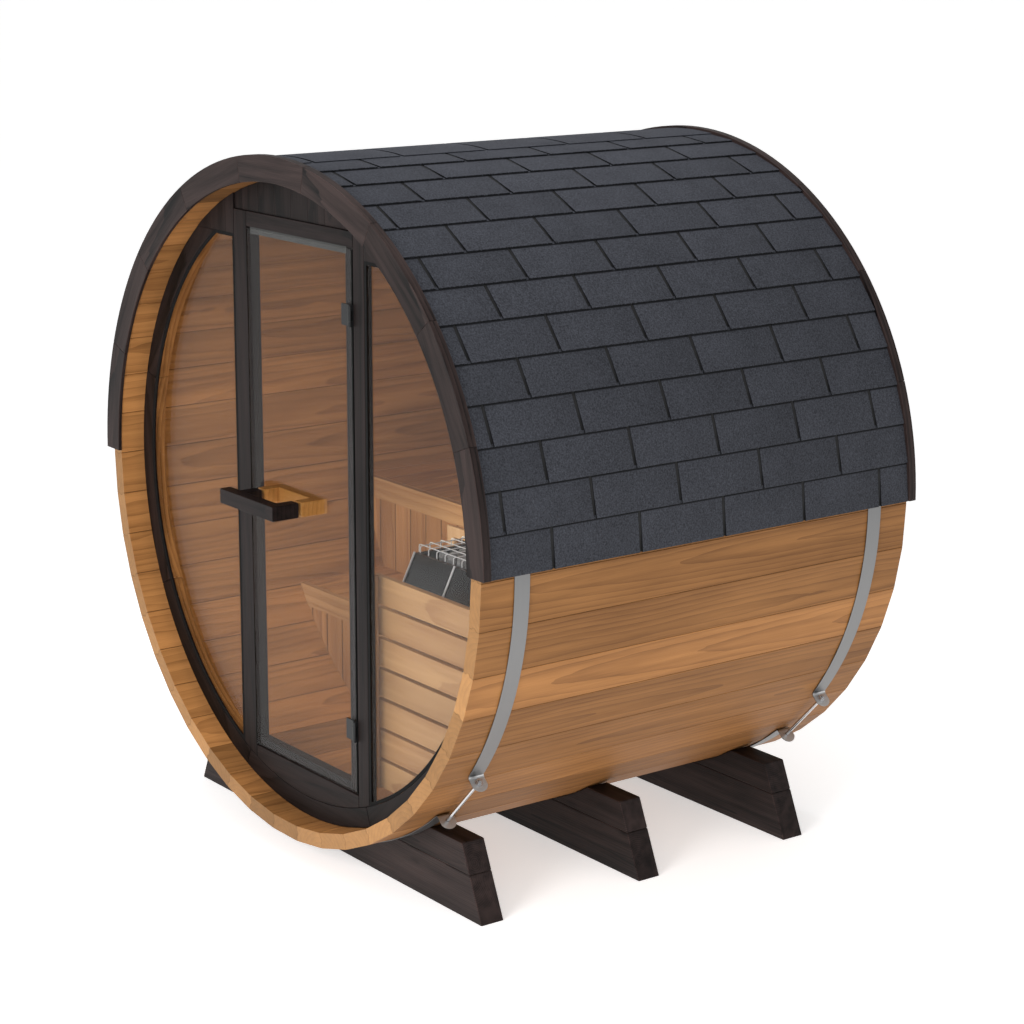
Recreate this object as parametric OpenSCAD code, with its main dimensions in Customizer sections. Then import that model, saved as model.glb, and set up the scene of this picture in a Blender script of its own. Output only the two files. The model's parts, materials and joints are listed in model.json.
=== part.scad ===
// Barrel sauna cabin: round stave barrel, shingled half roof, glazed front with a glass door,
// two benches, heater behind a fence, all carried on three timber cradles.
// Millimetres. X across the barrel, Y along its axis with the front at -Y, Z up from the ground.

/* [Barrel] */
// Outer width of the stave barrel across its flats
barrel_d = 1960; // [1700:10:2200]
// Length of the staves
barrel_len = 1520; // [1300:10:1900]
// Number of staves round the barrel
stave_n = 46; // [38:2:54]
// Stave thickness
stave_t = 45; // [34:1:56]
// Radius of the bead along one edge of each stave
bead_r = 9; // [6:0.5:11]
// Chamfer that makes the seam line between staves
seam_c = 1.6; // [0.5:0.1:3]
// Clearance under the barrel's lowest stave
ground_gap = 73; // [66:1:110]
// Joint left between neighbouring pieces
joint = 0.4; // [0.3:0.05:0.6]

/* [Cradles] */
// Length of a cradle at the ground
cradle_base = 1522; // [1300:2:1600]
// Length of a cradle at its top
cradle_top = 1334; // [1250:2:1400]
// Height of a cradle
cradle_h = 216; // [190:1:260]
// Height of the lower timber
cradle_low_h = 131; // [110:1:150]
// Cradle thickness along the barrel
cradle_t = 77; // [60:1:95]
// Distance between neighbouring cradles
cradle_pitch = 560; // [480:5:580]

/* [Roof] */
// Angle of the roof's lower edges over the horizontal
roof_edge_a = 0.6; // [0:0.1:8]
// Shingle courses on each side
course_n = 13; // [10:1:15]
// Thickness of the cover at the lower edge of a course
cover_t = 18; // [14:1:30]
// Step from one course down to the next
course_step = 5; // [3:0.5:7]
// Segments in each end fascia
fascia_n = 9; // [7:2:13]
// Fascia thickness in front of the stave ends
fascia_t = 12; // [10:1:18]
// Depth of the fascia lip over the roof edge
fascia_lip = 14; // [10:1:20]

/* [Front wall] */
// Recess of the front wall behind the stave ends
recess = 77; // [60:1:110]
// Wall thickness
wall_t = 45; // [40:1:60]
// Width of the round frame
ring_w = 58; // [45:1:75]
// Segments in the round frame
ring_n = 7; // [5:2:11]
// Half of the doorway width between the jambs
door_half = 280; // [250:1:300]
// Width of a jamb
jamb_w = 70; // [55:1:90]
// Width of the jamb at the hinges
hinge_jamb_w = 54; // [48:1:80]
// Width of the rebate at the back of that jamb
rebate_w = 27; // [15:1:30]
// Depth of that rebate
rebate_d = 18; // [10:1:24]
// Rise of the doorway's lower edge over the barrel's underside
sill_rise = 185; // [170:1:220]
// Drop of the lintel's top under the round frame's crown
lintel_drop = 55; // [45:1:90]
// Height of the lintel
lintel_h = 45; // [36:1:60]
// Drop of the side panes' straight top edge under the round frame's crown
pane_drop = 128; // [100:1:180]
// Glass thickness
glass_t = 8; // [6:1:10]
// Width of the stop strip on the hinge side
stop_w = 50; // [30:1:60]
// Gap between the door and the frame
door_gap = 5; // [5:0.5:8]

/* [Door furniture] */
// Rise of the handle's lower face over the doorway's lower edge
handle_rise = 758; // [640:1:900]
// Height of the handle section
handle_h = 45; // [35:1:55]
// Reach of the handle from the glass
handle_reach = 89; // [75:1:89]
// Depth of the grip bar and width of its arms
handle_bar = 38; // [30:1:42]
// Overhang of the outer grip past its left arm
handle_over = 56; // [0:1:58]
// Length of the handle over its two arms
handle_span = 240; // [200:1:280]
// Distance of the left arm from the edge of the glass
handle_in = 18; // [12:1:30]
// Height of a hinge
hinge_h = 60; // [50:1:80]
// Radius of a hinge pin
pin_r = 3.5; // [3:0.1:4]
// Wall of a hinge knuckle round its pin
knuckle_wall = 2.2; // [2:0.1:3]
// Distance of the hinge pin from the jamb
pin_in = 6; // [5.8:0.1:7]
// Distance of the hinge pin before the glass
pin_out = 7; // [7:0.1:9]
// Rise of the lower hinge's middle over the doorway's lower edge
hinge_low = 192; // [150:1:240]
// Drop of the upper hinge's middle under the lintel
hinge_high = 186; // [150:1:240]
// Width of a hinge's clamp plate on the glass
leaf_w = 40; // [32:1:50]
// Thickness of a hinge's clamp plate
leaf_t = 4; // [3:0.1:4.5]
// Thickness of a hinge's plate on the jamb
plate_t = 2.5; // [2:0.1:2.6]

/* [Benches] */
// Rise of the seat top over the barrel's underside
seat_rise = 800; // [750:1:850]
// Rise of the step top over the barrel's underside
step_rise = 501; // [450:1:550]
// Front face of the seat along the barrel
seat_y = 130; // [80:1:180]
// Front face of the step along the barrel
step_y = -197; // [-215:1:-150]
// Thickness of the bench boards
bench_t = 22; // [18:1:28]
// Height of the bench front boards
bench_front = 71; // [60:1:90]
// Set-back of the boarded skirts behind the front boards
skirt_in = 4; // [2:1:8]
// Distance of the framed opening's left side from the middle of the barrel
vent_left = 418; // [360:1:450]
// Width of the framed opening over its frame
vent_w = 300; // [240:1:360]
// Width of the frame's rim
vent_rim = 34; // [24:1:44]
// Thickness of the frame
vent_t = 14; // [10:1:18]
// Space under the frame
vent_low = 18; // [10:1:26]
// Space over the frame
vent_high = 4; // [2:1:10]

/* [Heater and fence] */
// Width of the heater
heater_w = 408; // [360:2:430]
// Left side of the heater
heater_x = 212; // [200:1:240]
// Rise of the heater's top over the barrel's underside
heater_rise = 852; // [820:1:880]
// Height of the heater's casing
heater_h = 505; // [480:1:530]
// Height of the leaning part of the casing's front
face_h = 165; // [140:1:200]
// Depth that the casing's front leans back
heater_lean = 80; // [60:1:100]
// Distance of the heater behind the front wall's face
heater_in = 163; // [140:1:180]
// Space between the heater and the step
heater_gap = 30; // [20:1:40]
// Rim of the casing round the stones
casing_rim = 14; // [10:1:18]
// Depth of the stone tray
tray_depth = 120; // [90:1:150]
// Drop of the stone bed under the casing's rim
bed_drop = 12; // [8:1:30]
// Size of the stones
stone_r = 26; // [20:1:30]
// Height of the wire guard over the casing
guard_h = 42; // [36:1:60]
// Radius of the guard's wires
wire_r = 2.6; // [2:0.1:3.5]
// Radius of the bright rods
bar_r = 3; // [2.5:0.1:5]
// Width of a heater leg
leg_w = 30; // [24:1:40]
// Number of fence slats
slat_n = 7; // [5:1:8]
// Rise of the top of the fence over the barrel's underside
fence_rise = 834; // [790:1:850]
// Distance from slat to slat
slat_pitch = 90.8; // [80:0.2:100]
// Gap between slats
slat_gap = 9; // [5:0.5:15]
// Thickness of a slat
slat_t = 20; // [16:1:24]
// Width of a fence post
post_w = 24; // [18:1:24]
// Thickness of the post behind the slats
post_t = 30; // [20:1:36]
// Space for the post between the front wall and the slats
post_gap = 13; // [10:1:18]
// Distance of the fence from the doorway
fence_in = 2; // [1:1:4]

/* [Steel bands] */
// Width of a band
band_w = 50; // [35:1:60]
// Band thickness
band_t = 2; // [1.5:0.1:3]
// Distance of a band from the barrel's middle
band_y = 630; // [615:1:640]
// Angle of the upper tab under the horizontal
tab_hi_a = 38; // [34:0.5:42]
// Angle of the lower tab under the horizontal
tab_lo_a = 50; // [47:0.5:60]
// Radius inside the bend from strap to tab
bend_r = 8; // [6:0.5:12]
// Radius of a tension rod
rod_r = 5; // [3.5:0.1:6]
// Distance of a tension rod's ends from the barrel
rod_out = 22; // [20:0.5:26]

/* [Hidden] */
$fn = 96;
fit = 0.3;
ro = barrel_d / 2;
ri = ro - stave_t;
axis_h = ground_gap + ro;
half_a = 180 / stave_n;
corner_r = ro / cos(half_a);
y_front = -barrel_len / 2;
wall_y = y_front + recess;
back_y = -wall_y - wall_t;
ring_ri = ri - ring_w;
fill_r = ring_ri - joint;
cut_r = ri - fit - 0.3;
roof_ri = corner_r + band_t + 1;
roof_ro = ro + cover_t + course_step;
roof_up = roof_ro - course_step;
course_a = (84.9 - roof_edge_a) / course_n;
fascia_ro = roof_ro + 5;
fascia_a = (180 - 2 * roof_edge_a) / fascia_n;
crown_z = axis_h + ring_ri;
sill_z = ground_gap + sill_rise;
lintel_top = crown_z - lintel_drop;
lintel_z = lintel_top - lintel_h;
pane_top_z = crown_z - pane_drop;
handle_z = sill_z + handle_rise;
seat_z = ground_gap + seat_rise;
step_z = ground_gap + step_rise;
heater_z = ground_gap + heater_rise;
fence_z = ground_gap + fence_rise;
glass_y = wall_y;
stop_y = glass_y + glass_t + door_gap;
inner_y = wall_y + wall_t;
door_l = -door_half + door_gap;
door_r = door_half - 2 * door_gap;
hinge_x = door_half - pin_in;
hinge_y = wall_y - pin_out;
hinge_zs = [sill_z + hinge_low, lintel_z - hinge_high];
knuckle_r = pin_r + knuckle_wall;
arm_l = door_l + handle_in;
arm_r = arm_l + handle_span;
heater_y = wall_y + heater_in;
slat_y = inner_y + post_gap;
fence_x = door_half + fence_in;
band_r0 = corner_r + fit;
band_r1 = band_r0 + band_t;
tab_mid_a = (tab_hi_a + tab_lo_a) / 2;
tab_span_a = (tab_lo_a - tab_hi_a) / 2;
rod_at = corner_r + rod_out;
rod_x = rod_at * cos(tab_span_a);
tab_y = rod_at * sin(tab_span_a);
tab_r = band_w / 2 + 2;

wood_c = [0.66, 0.42, 0.22];
light_c = [0.78, 0.56, 0.34];
dark_c = [0.13, 0.10, 0.09];
shingle_c = [0.17, 0.19, 0.23];
steel_c = [0.62, 0.63, 0.64];
chrome_c = [0.8, 0.8, 0.82];
glass_c = [0.55, 0.42, 0.30, 0.35];
heater_c = [0.12, 0.12, 0.13];
hinge_c = [0.30, 0.31, 0.32];
stone_c = [0.42, 0.42, 0.43];

// A point in the barrel's cross-section, by radius and angle.
function polar(r, a) = [r * cos(a), r * sin(a)];

// A point of the cross-section turned about the barrel axis.
function turned(p, a) = [p[0] * cos(a) - p[1] * sin(a), p[0] * sin(a) + p[1] * cos(a)];

// Runs a cross-section along the barrel from y0 over a length; the section's origin is the barrel axis.
module along(y0, len) {
  translate([0, y0 + len, axis_h])
    rotate([90, 0, 0])
      linear_extrude(height = len)
        children();
}

// Wedge that opens from the barrel axis between two angles, for spans below 120 degrees.
module wedge(r, a0, a1) {
  far = r / cos((a1 - a0) / 2) * 1.05;
  polygon([[0, 0], polar(far, a0), polar(far, (a0 + a1) / 2), polar(far, a1)]);
}

// Part of a flat ring between two angles; the circles' seam is turned to the far side.
module ring_part(r0, r1, a0, a1) {
  intersection() {
    rotate((a0 + a1) / 2 + 180)
      difference() {
        circle(r = r1, $fn = 180);
        circle(r = r0, $fn = 180);
      }
    wedge(r1, a0, a1);
  }
}

// Rectangle in the cross-section, stated by its X range and its heights over the ground.
module panel(x0, x1, z0, z1) {
  translate([x0, z0 - axis_h])
    square([x1 - x0, z1 - z0]);
}

// The same rectangle with its ends cut to the inside of the barrel.
module fitted(x0, x1, z0, z1, r) {
  intersection() {
    circle(r = r, $fn = 180);
    panel(x0, x1, z0, z1);
  }
}

// Cross-section of one stave at angle 0: chamfered board with a bead on one edge and a cove on the other.
module stave_section() {
  rm = (ri + ro) / 2;
  hi = ri * tan(half_a) - joint / 2;
  ho = ro * tan(half_a) - joint / 2;
  hm = rm * tan(half_a);
  c = seam_c;
  difference() {
    union() {
      polygon([[ri + c, -hi], [ri, -hi + c], [ri, hi - c], [ri + c, hi],
               [ro - c, ho], [ro, ho - c], [ro, -ho + c], [ro - c, -ho]]);
      translate([rm, hm - bead_r / 3])
        circle(r = bead_r, $fn = 32);
    }
    translate([rm, -hm - bead_r / 3])
      circle(r = bead_r + joint, $fn = 32);
  }
}

// Staves number i0 to i1, counted from the lowest one towards the right.
module staves(i0, i1) {
  color(wood_c)
    for (i = [i0 : i1])
      along(y_front, barrel_len)
        rotate(-90 + i * 2 * half_a)
          stave_section();
}

module staves_bottom() staves(-2, 2);
module staves_lower_right() staves(3, 8);
module staves_right() staves(9, 14);
module staves_upper_right() staves(15, floor(stave_n / 2) - 3);
module staves_top() staves(floor(stave_n / 2) - 2, floor(stave_n / 2) + 2);
module staves_upper_left() staves(floor(stave_n / 2) + 3, stave_n - 15);
module staves_left() staves(stave_n - 14, stave_n - 9);
module staves_lower_left() staves(stave_n - 8, stave_n - 3);

// One shingle course as a slab that is thicker at its lower edge.
module course(k) {
  a0 = roof_edge_a + k * course_a + 0.01;
  a1 = roof_edge_a + (k + 1) * course_a - 0.01;
  r_in = roof_ri / cos(course_a / 2);
  polygon([polar(r_in, a0), polar(roof_ro, a0), polar(roof_up, a1), polar(r_in, a1)]);
}

module roof_half() {
  y0 = y_front + fascia_lip + fit;
  color(shingle_c)
    for (k = [0 : course_n - 1])
      along(y0, -2 * y0)
        course(k);
}

module roof_right() roof_half();
module roof_left() mirror([1, 0, 0]) roof_half();

// Ridge cap that laps over the top course on both sides.
module roof_ridge() {
  y0 = y_front + fascia_lip + fit;
  lap = [[roof_ri + 0.5, 4.98], [roof_up + 0.6, 4.98], [roof_up + 1.4, 6], [roof_up + 3.4, 6]];
  color(shingle_c)
    along(y0, -2 * y0)
      polygon(concat([for (p = lap) polar(p[0], 90 - p[1])], [polar(roof_up + 3.2, 90)],
                     [for (i = [3 : -1 : 0]) polar(lap[i][0], 90 + lap[i][1])]));
}

// Arched end board in segments, with a lip that closes the roof's edge.
module fascia() {
  gap_a = joint / 2 / fascia_ro * 180 / PI;
  color(dark_c)
    for (k = [0 : fascia_n - 1]) {
      a0 = roof_edge_a + k * fascia_a + gap_a;
      a1 = roof_edge_a + (k + 1) * fascia_a - gap_a;
      union() {
        along(y_front - fascia_t, fascia_t - fit)
          ring_part(ri - 2, fascia_ro, a0, a1);
        along(y_front - fit - 1, fascia_lip + fit + 1)
          ring_part(roof_ri, fascia_ro, a0, a1);
      }
    }
}

module front_fascia() fascia();
module rear_fascia() mirror([0, 1, 0]) fascia();

// Bent end of a strap, from its inner face round the bend, out along the tab and back to its outer face.
// Both tabs of a rod stand square to it; side 1 is the upper tab and side -1 the lower one.
bend_y = tab_y + band_t / 2 + bend_r;
bend_x = sqrt(pow(band_r1 + bend_r, 2) - pow(bend_y, 2));
bend_a = atan2(bend_y, bend_x);
bend_n = 6;
function bend_point(r, i) = [bend_x, bend_y] + polar(r, 180 + bend_a + i / bend_n * (90 - bend_a));
function strap_end(side) = [
  for (p = concat([for (i = [0 : bend_n]) bend_point(bend_r + band_t, i)],
                  [[rod_x + tab_r, tab_y - band_t / 2], [rod_x + tab_r, tab_y + band_t / 2]],
                  [for (i = [bend_n : -1 : 0]) bend_point(bend_r, i)]))
    turned([p[0], side * p[1]], -tab_mid_a)];

// Points along a strap's face, without its ends.
function strap_face(r, a0, a1, n) = [for (i = [1 : n - 1]) polar(r, a0 + (a1 - a0) * i / n)];

// Strap down one side of the barrel, from under the roof to its tab.
module side_section() {
  top_a = roof_edge_a + 3;
  low_a = bend_a - tab_mid_a;
  n = 24;
  polygon(concat([polar(band_r0, top_a)], strap_face(band_r0, top_a, low_a, n), strap_end(1),
                 strap_face(band_r1, low_a, top_a, n), [polar(band_r1, top_a)]));
}

// Strap under the barrel, with a tab at each end.
module under_section() {
  end_a = -bend_a - tab_mid_a;
  n = 36;
  right = strap_end(-1);
  left = [for (i = [len(right) - 1 : -1 : 0]) [-right[i][0], right[i][1]]];
  polygon(concat(strap_face(band_r0, -180 - end_a, end_a, n), right,
                 strap_face(band_r1, end_a, -180 - end_a, n), left));
}

// Frame of a tension rod: X out from the barrel, Z up along the rod.
module at_rod(y, m) {
  mirror([m, 0, 0])
    translate([0, y, axis_h])
      rotate([0, tab_mid_a, 0])
        translate([rod_x, 0, 0])
          children();
}

// Rounds a tab's outer end and drills it for the rod.
module tab_cut(z) {
  translate([0, 0, z - 2 * band_t])
    difference() {
      translate([0, -band_w, 0])
        cube([2 * tab_r, 2 * band_w, 4 * band_t]);
      translate([0, 0, -1])
        cylinder(r = tab_r, h = 4 * band_t + 2, $fn = 64);
    }
  translate([0, 0, z - 2 * band_t])
    cylinder(r = rod_r + 0.6, h = 4 * band_t, $fn = 32);
}

// Band in three straps: one down each side from under the roof and one under the barrel.
module band(y) {
  color(steel_c) {
    for (m = [0, 1])
      difference() {
        mirror([m, 0, 0])
          along(y - band_w / 2, band_w)
            side_section();
        at_rod(y, m)
          tab_cut(tab_y);
      }
    difference() {
      along(y - band_w / 2, band_w)
        under_section();
      for (m = [0, 1])
        at_rod(y, m)
          tab_cut(-tab_y);
    }
  }
}

module front_band() band(-band_y);
module rear_band() band(band_y);

// Threaded rod through both tabs of a band, with a washer and a nut behind each.
module tensioner() {
  seat = tab_y + band_t / 2 + fit;
  washer_t = 2;
  nut_t = 7;
  tip = seat + washer_t + nut_t + 5;
  union() {
    translate([0, 0, -tip])
      cylinder(r = rod_r, h = 2 * tip, $fn = 32);
    for (m = [0, 1])
      mirror([0, 0, m]) {
        translate([0, 0, seat])
          cylinder(r = 2.5 * rod_r, h = washer_t, $fn = 48);
        translate([0, 0, seat + washer_t - 0.5])
          cylinder(r = 1.85 * rod_r, h = nut_t + 0.5, $fn = 6);
      }
  }
}

module tensioners(y) {
  color(chrome_c)
    for (m = [0, 1])
      at_rod(y, m)
        tensioner();
}

module front_tensioners() tensioners(-band_y);
module rear_tensioners() tensioners(band_y);

// Cradle: a lower timber right across and an upper timber each side, sloped ends, hollowed to the barrel.
module cradle(y) {
  hw = cradle_base / 2;
  slope = (cradle_base - cradle_top) / 2 / cradle_h;
  low = cradle_low_h - joint / 2;
  high = cradle_low_h + joint / 2;
  color(dark_c)
    along(y - cradle_t / 2, cradle_t)
      difference() {
        translate([0, -axis_h])
          union() {
            polygon([[-hw, 0], [hw, 0], [hw - slope * low, low], [-hw + slope * low, low]]);
            polygon([[-hw + slope * high, high], [hw - slope * high, high],
                     [cradle_top / 2, cradle_h], [-cradle_top / 2, cradle_h]]);
          }
        circle(r = corner_r + fit, $fn = 180);
      }
}

module front_cradle() cradle(-cradle_pitch);
module middle_cradle() cradle(0);
module rear_cradle() cradle(cradle_pitch);

// Round frame of the front wall in segments; it ends at the fill over the panes.
module front_ring() {
  gap_a = joint / 2 / ring_ri * 180 / PI;
  reach_a = 90 + asin((pane_top_z - axis_h) / ring_ri);
  step_a = 2 * reach_a / ring_n;
  color(dark_c)
    for (k = [0 : ring_n - 1])
      along(wall_y, wall_t)
        difference() {
          ring_part(ring_ri, ri - fit, k * step_a - 90 - reach_a + gap_a,
                    (k + 1) * step_a - 90 - reach_a - gap_a);
          panel(-ro, ro, pane_top_z - joint, axis_h + ro);
        }
}

// Jamb at the left; its foot and its top are cut to the round frame.
module left_jamb() {
  color(dark_c)
    along(wall_y, wall_t)
      fitted(-door_half - jamb_w, -door_half, 0, lintel_top, fill_r);
}

// Jamb at the right, rebated at its back, with the stop strip that the door closes against.
module right_jamb() {
  color(dark_c)
    union() {
      along(wall_y, wall_t - rebate_d)
        fitted(door_half, door_half + hinge_jamb_w, 0, lintel_top, fill_r);
      along(wall_y, wall_t)
        fitted(door_half, door_half + hinge_jamb_w - rebate_w, 0, lintel_top, fill_r);
      along(stop_y, inner_y - stop_y)
        panel(door_half - stop_w, door_half + 1, sill_z + joint, lintel_z - joint);
    }
}

module lintel() {
  w = door_half - joint;
  color(dark_c)
    union() {
      along(wall_y, wall_t)
        panel(-w, w, lintel_z, lintel_top);
      along(stop_y, inner_y - stop_y)
        panel(-w, door_half - stop_w - joint, lintel_z - 22, lintel_z + 1);
    }
}

// Bottom rail under the door, round at its foot, with the stop along its back edge.
module sill() {
  w = door_half - joint;
  color(dark_c)
    union() {
      along(wall_y, wall_t)
        fitted(-w, w, 0, sill_z, fill_r);
      along(stop_y, inner_y - stop_y)
        panel(-w, door_half - stop_w - joint, sill_z - 1, sill_z + 24);
    }
}

// Fill over the lintel and over the two side panes.
module front_top_infill() {
  x0 = [door_half + hinge_jamb_w + joint, door_half + jamb_w + joint];
  color(dark_c) {
    along(wall_y + 6, wall_t - 6)
      fitted(-x0[1], x0[0], lintel_top + joint, axis_h + ro, ri - fit);
    for (m = [0, 1])
      mirror([m, 0, 0])
        along(wall_y, wall_t)
          fitted(x0[m] + joint, ro, pane_top_z, axis_h + ro, ri - fit);
  }
}

module side_pane(w) {
  color(glass_c)
    along(glass_y + 4, glass_t)
      fitted(door_half + w + joint, ro, 0, pane_top_z - joint, fill_r);
}

module left_pane() mirror([1, 0, 0]) side_pane(jamb_w);
module right_pane() side_pane(hinge_jamb_w);

// Rear wall of upright boards, cut round to the barrel.
module rear_wall() {
  n = 14;
  w = 2 * ri / n;
  color(wood_c)
    for (i = [0 : n - 1])
      along(back_y, wall_t)
        fitted(-ri + i * w + joint / 2, -ri + (i + 1) * w - joint / 2, 0, axis_h + ro, ri - fit);
}

// Seat between two places along the barrel, its ends cut to the staves.
module seat(y0, y1, z) {
  color(light_c)
    along(y0, y1 - y0)
      fitted(-ro, ro, z - bench_t, z, cut_r);
}

module bench_front_board(y, z) {
  color(light_c)
    along(y, bench_t)
      fitted(-ro, ro, z - bench_front, z, cut_r);
}

module upper_bench_seat() seat(seat_y + bench_t + fit, back_y - fit, seat_z);
module upper_bench_front() bench_front_board(seat_y, seat_z);
module lower_bench_seat() seat(step_y + bench_t + fit, seat_y + bench_t, step_z);
module lower_bench_front() bench_front_board(step_y, step_z);

vent_x = [-vent_left, vent_w - vent_left];
vent_z = [step_z + vent_low, seat_z - bench_front - fit - vent_high];

// Inside of the frame round the opening in the skirt.
module vent_hole() {
  panel(vent_x[0] + vent_rim, vent_x[1] - vent_rim, vent_z[0] + vent_rim, vent_z[1] - vent_rim);
}

// Boarded skirt under the seat, cut out behind the framed opening.
module upper_bench_skirt() {
  color(light_c)
    along(seat_y + skirt_in, bench_t - skirt_in)
      difference() {
        fitted(-ro, ro, step_z + fit, seat_z - bench_front - fit, cut_r);
        vent_hole();
      }
}

// Light frame round the opening in the skirt.
module vent_frame() {
  color(light_c)
    along(seat_y + skirt_in - vent_t, vent_t - fit)
      difference() {
        panel(vent_x[0], vent_x[1], vent_z[0], vent_z[1]);
        vent_hole();
      }
}

// Boarded skirt under the step, cut round to the barrel.
module lower_bench_skirt() {
  color(light_c)
    along(step_y + skirt_in, bench_t - skirt_in)
      fitted(-ro, ro, 0, step_z - bench_front - fit, cut_r);
}

heater_low = heater_z - heater_h;
heater_back = step_y - heater_gap;
heater_bend = heater_z - face_h;
tray_x = [heater_x + casing_rim, heater_x + heater_w - casing_rim];
tray_y = [heater_y + heater_lean + casing_rim, heater_back - casing_rim];

// Heater casing: upright below, leaning back at the top, open above for the stones.
module heater_body() {
  color(heater_c)
    difference() {
      translate([heater_x, 0, 0])
        rotate([90, 0, 90])
          linear_extrude(height = heater_w)
            polygon([[heater_y, heater_low], [heater_y, heater_bend], [heater_y + heater_lean, heater_z],
                     [heater_back, heater_z], [heater_back, heater_low]]);
      translate([tray_x[0], tray_y[0], heater_z - tray_depth])
        cube([tray_x[1] - tray_x[0], tray_y[1] - tray_y[0], 2 * tray_depth]);
    }
}

// Stones that fill the tray: a bed with a rounded stone in each place of two staggered rows.
module heater_stones() {
  w = tray_x[1] - tray_x[0] - 2 * fit;
  d = tray_y[1] - tray_y[0] - 2 * fit;
  rows = max(2, floor(d / (2.2 * stone_r)));
  cols = floor(w / (2.2 * stone_r));
  top = tray_depth - bed_drop;
  color(stone_c)
    translate([tray_x[0] + fit, tray_y[0] + fit, heater_z - tray_depth + fit])
      union() {
        cube([w, d, top]);
        for (j = [0 : rows - 1], i = [0 : cols - 1 - j % 2])
          translate([w * (i + 0.5 + 0.5 * (j % 2)) / cols, d * (j + 0.5) / rows, top - stone_r / 4])
            sphere(r = stone_r, $fn = 32);
      }
}

// Bright rods up the leaning face.
module heater_rods() {
  lean = atan(heater_lean / (heater_z - heater_bend));
  len = (heater_z - heater_bend) / cos(lean);
  color(chrome_c)
    for (k = [0 : 2])
      translate([heater_x + 2 * bar_r + k * (heater_w - 4 * bar_r) / 2, heater_y, heater_bend])
        rotate([-lean, 0, 0])
          translate([0, -bar_r - fit, bar_r])
            cylinder(r = bar_r, h = len, $fn = 32);
}

// Wire guard over the stones: long wires across, cross wires under them and short legs on the casing's rim.
module heater_grille() {
  y0 = (heater_y + heater_lean + tray_y[0]) / 2;
  y1 = (heater_back + tray_y[1]) / 2;
  x0 = (heater_x + tray_x[0]) / 2;
  x1 = (heater_x + heater_w + tray_x[1]) / 2;
  z = heater_z + guard_h;
  wr = wire_r;
  tip = 1.5 * wr;
  color(chrome_c)
    union() {
      for (i = [0 : 5])
        translate([x0 - tip, y0 + i * (y1 - y0) / 5, z])
          rotate([0, 90, 0])
            cylinder(r = wr, h = x1 - x0 + 2 * tip, $fn = 16);
      for (i = [0 : 4])
        translate([x0 + i * (x1 - x0) / 4, y0 - tip, z - wr])
          rotate([-90, 0, 0])
            cylinder(r = wr, h = y1 - y0 + 2 * tip, $fn = 16);
      for (i = [0 : 4], y = [y0, y1])
        translate([x0 + i * (x1 - x0) / 4, y, heater_z + fit])
          cylinder(r = wr, h = z - heater_z - fit, $fn = 16);
    }
}

// Legs under the heater, cut to the barrel's floor.
module heater_stand() {
  leg = leg_w;
  in = leg / 3;
  color(heater_c)
    for (x = [heater_x + in, heater_x + heater_w - in - leg], y = [heater_y + in, heater_back - in - leg])
      along(y, leg)
        fitted(x, x + leg, 0, heater_low - fit, cut_r);
}

// Fence of level slats before the heater; the right ends follow the barrel.
module fence_slats() {
  color(light_c)
    for (i = [0 : slat_n - 1])
      along(slat_y, slat_t)
        fitted(fence_x, ro, fence_z - (i + 1) * slat_pitch + slat_gap, fence_z - i * slat_pitch, cut_r);
}

module fence_posts() {
  z0 = fence_z - slat_n * slat_pitch + slat_gap;
  post_x = heater_x + heater_w + post_w / 2;
  color(light_c) {
    along(inner_y + fit, slat_y - inner_y - 2 * fit)
      panel(fence_x, fence_x + post_w, z0, fence_z);
    along(slat_y + slat_t + fit, post_t)
      fitted(post_x, post_x + post_w, 0, fence_z, cut_r);
  }
}

// Fixed half of a hinge: plate in the reveal, two outer knuckles and the pin.
module hinge_bracket(z) {
  plate_x = door_half - plate_t - fit;
  translate([0, 0, z - hinge_h / 2])
    difference() {
      union() {
        translate([plate_x, hinge_y, 0])
          cube([plate_t, stop_y - hinge_y - fit, hinge_h]);
        for (dz = [0, hinge_h * 0.75])
          translate([hinge_x, hinge_y, dz])
            cylinder(r = knuckle_r, h = hinge_h / 4 - joint, $fn = 32);
        translate([hinge_x, hinge_y, 0])
          cylinder(r = pin_r, h = hinge_h - joint, $fn = 32);
      }
      difference() {
        translate([hinge_x - 2 * knuckle_r, hinge_y - 2 * knuckle_r, hinge_h / 4 - joint])
          cube([4 * knuckle_r, 3 * knuckle_r + 1, hinge_h / 2 + joint]);
        translate([hinge_x, hinge_y, 0])
          cylinder(r = pin_r, h = hinge_h, $fn = 32);
      }
    }
}

module hinge_brackets() {
  color(hinge_c)
    for (z = hinge_zs)
      hinge_bracket(z);
}

// Moving half of a hinge: clamp plate on the glass and the middle knuckle round the pin.
module hinge_leaf(z) {
  plate_r = door_r - 4;
  h = hinge_h / 2 - joint;
  color(hinge_c)
    difference() {
      union() {
        translate([plate_r - leaf_w, glass_y - leaf_t - 0.05, z - hinge_h / 2])
          cube([leaf_w, leaf_t, hinge_h]);
        translate([plate_r - 6, hinge_y - 3, z - h / 2])
          cube([hinge_x - plate_r + 6, 6, h]);
        translate([hinge_x, hinge_y, z - h / 2])
          cylinder(r = knuckle_r, h = h, $fn = 32);
      }
      translate([hinge_x, hinge_y, z - h])
        cylinder(r = pin_r + 0.06, h = 2 * h, $fn = 32);
    }
}

module door_hinge_leaves() {
  for (z = hinge_zs)
    hinge_leaf(z);
}

module door_glass() {
  color(glass_c)
    along(glass_y, glass_t)
      panel(door_l, door_r, sill_z + door_gap, lintel_z - door_gap);
}

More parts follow.
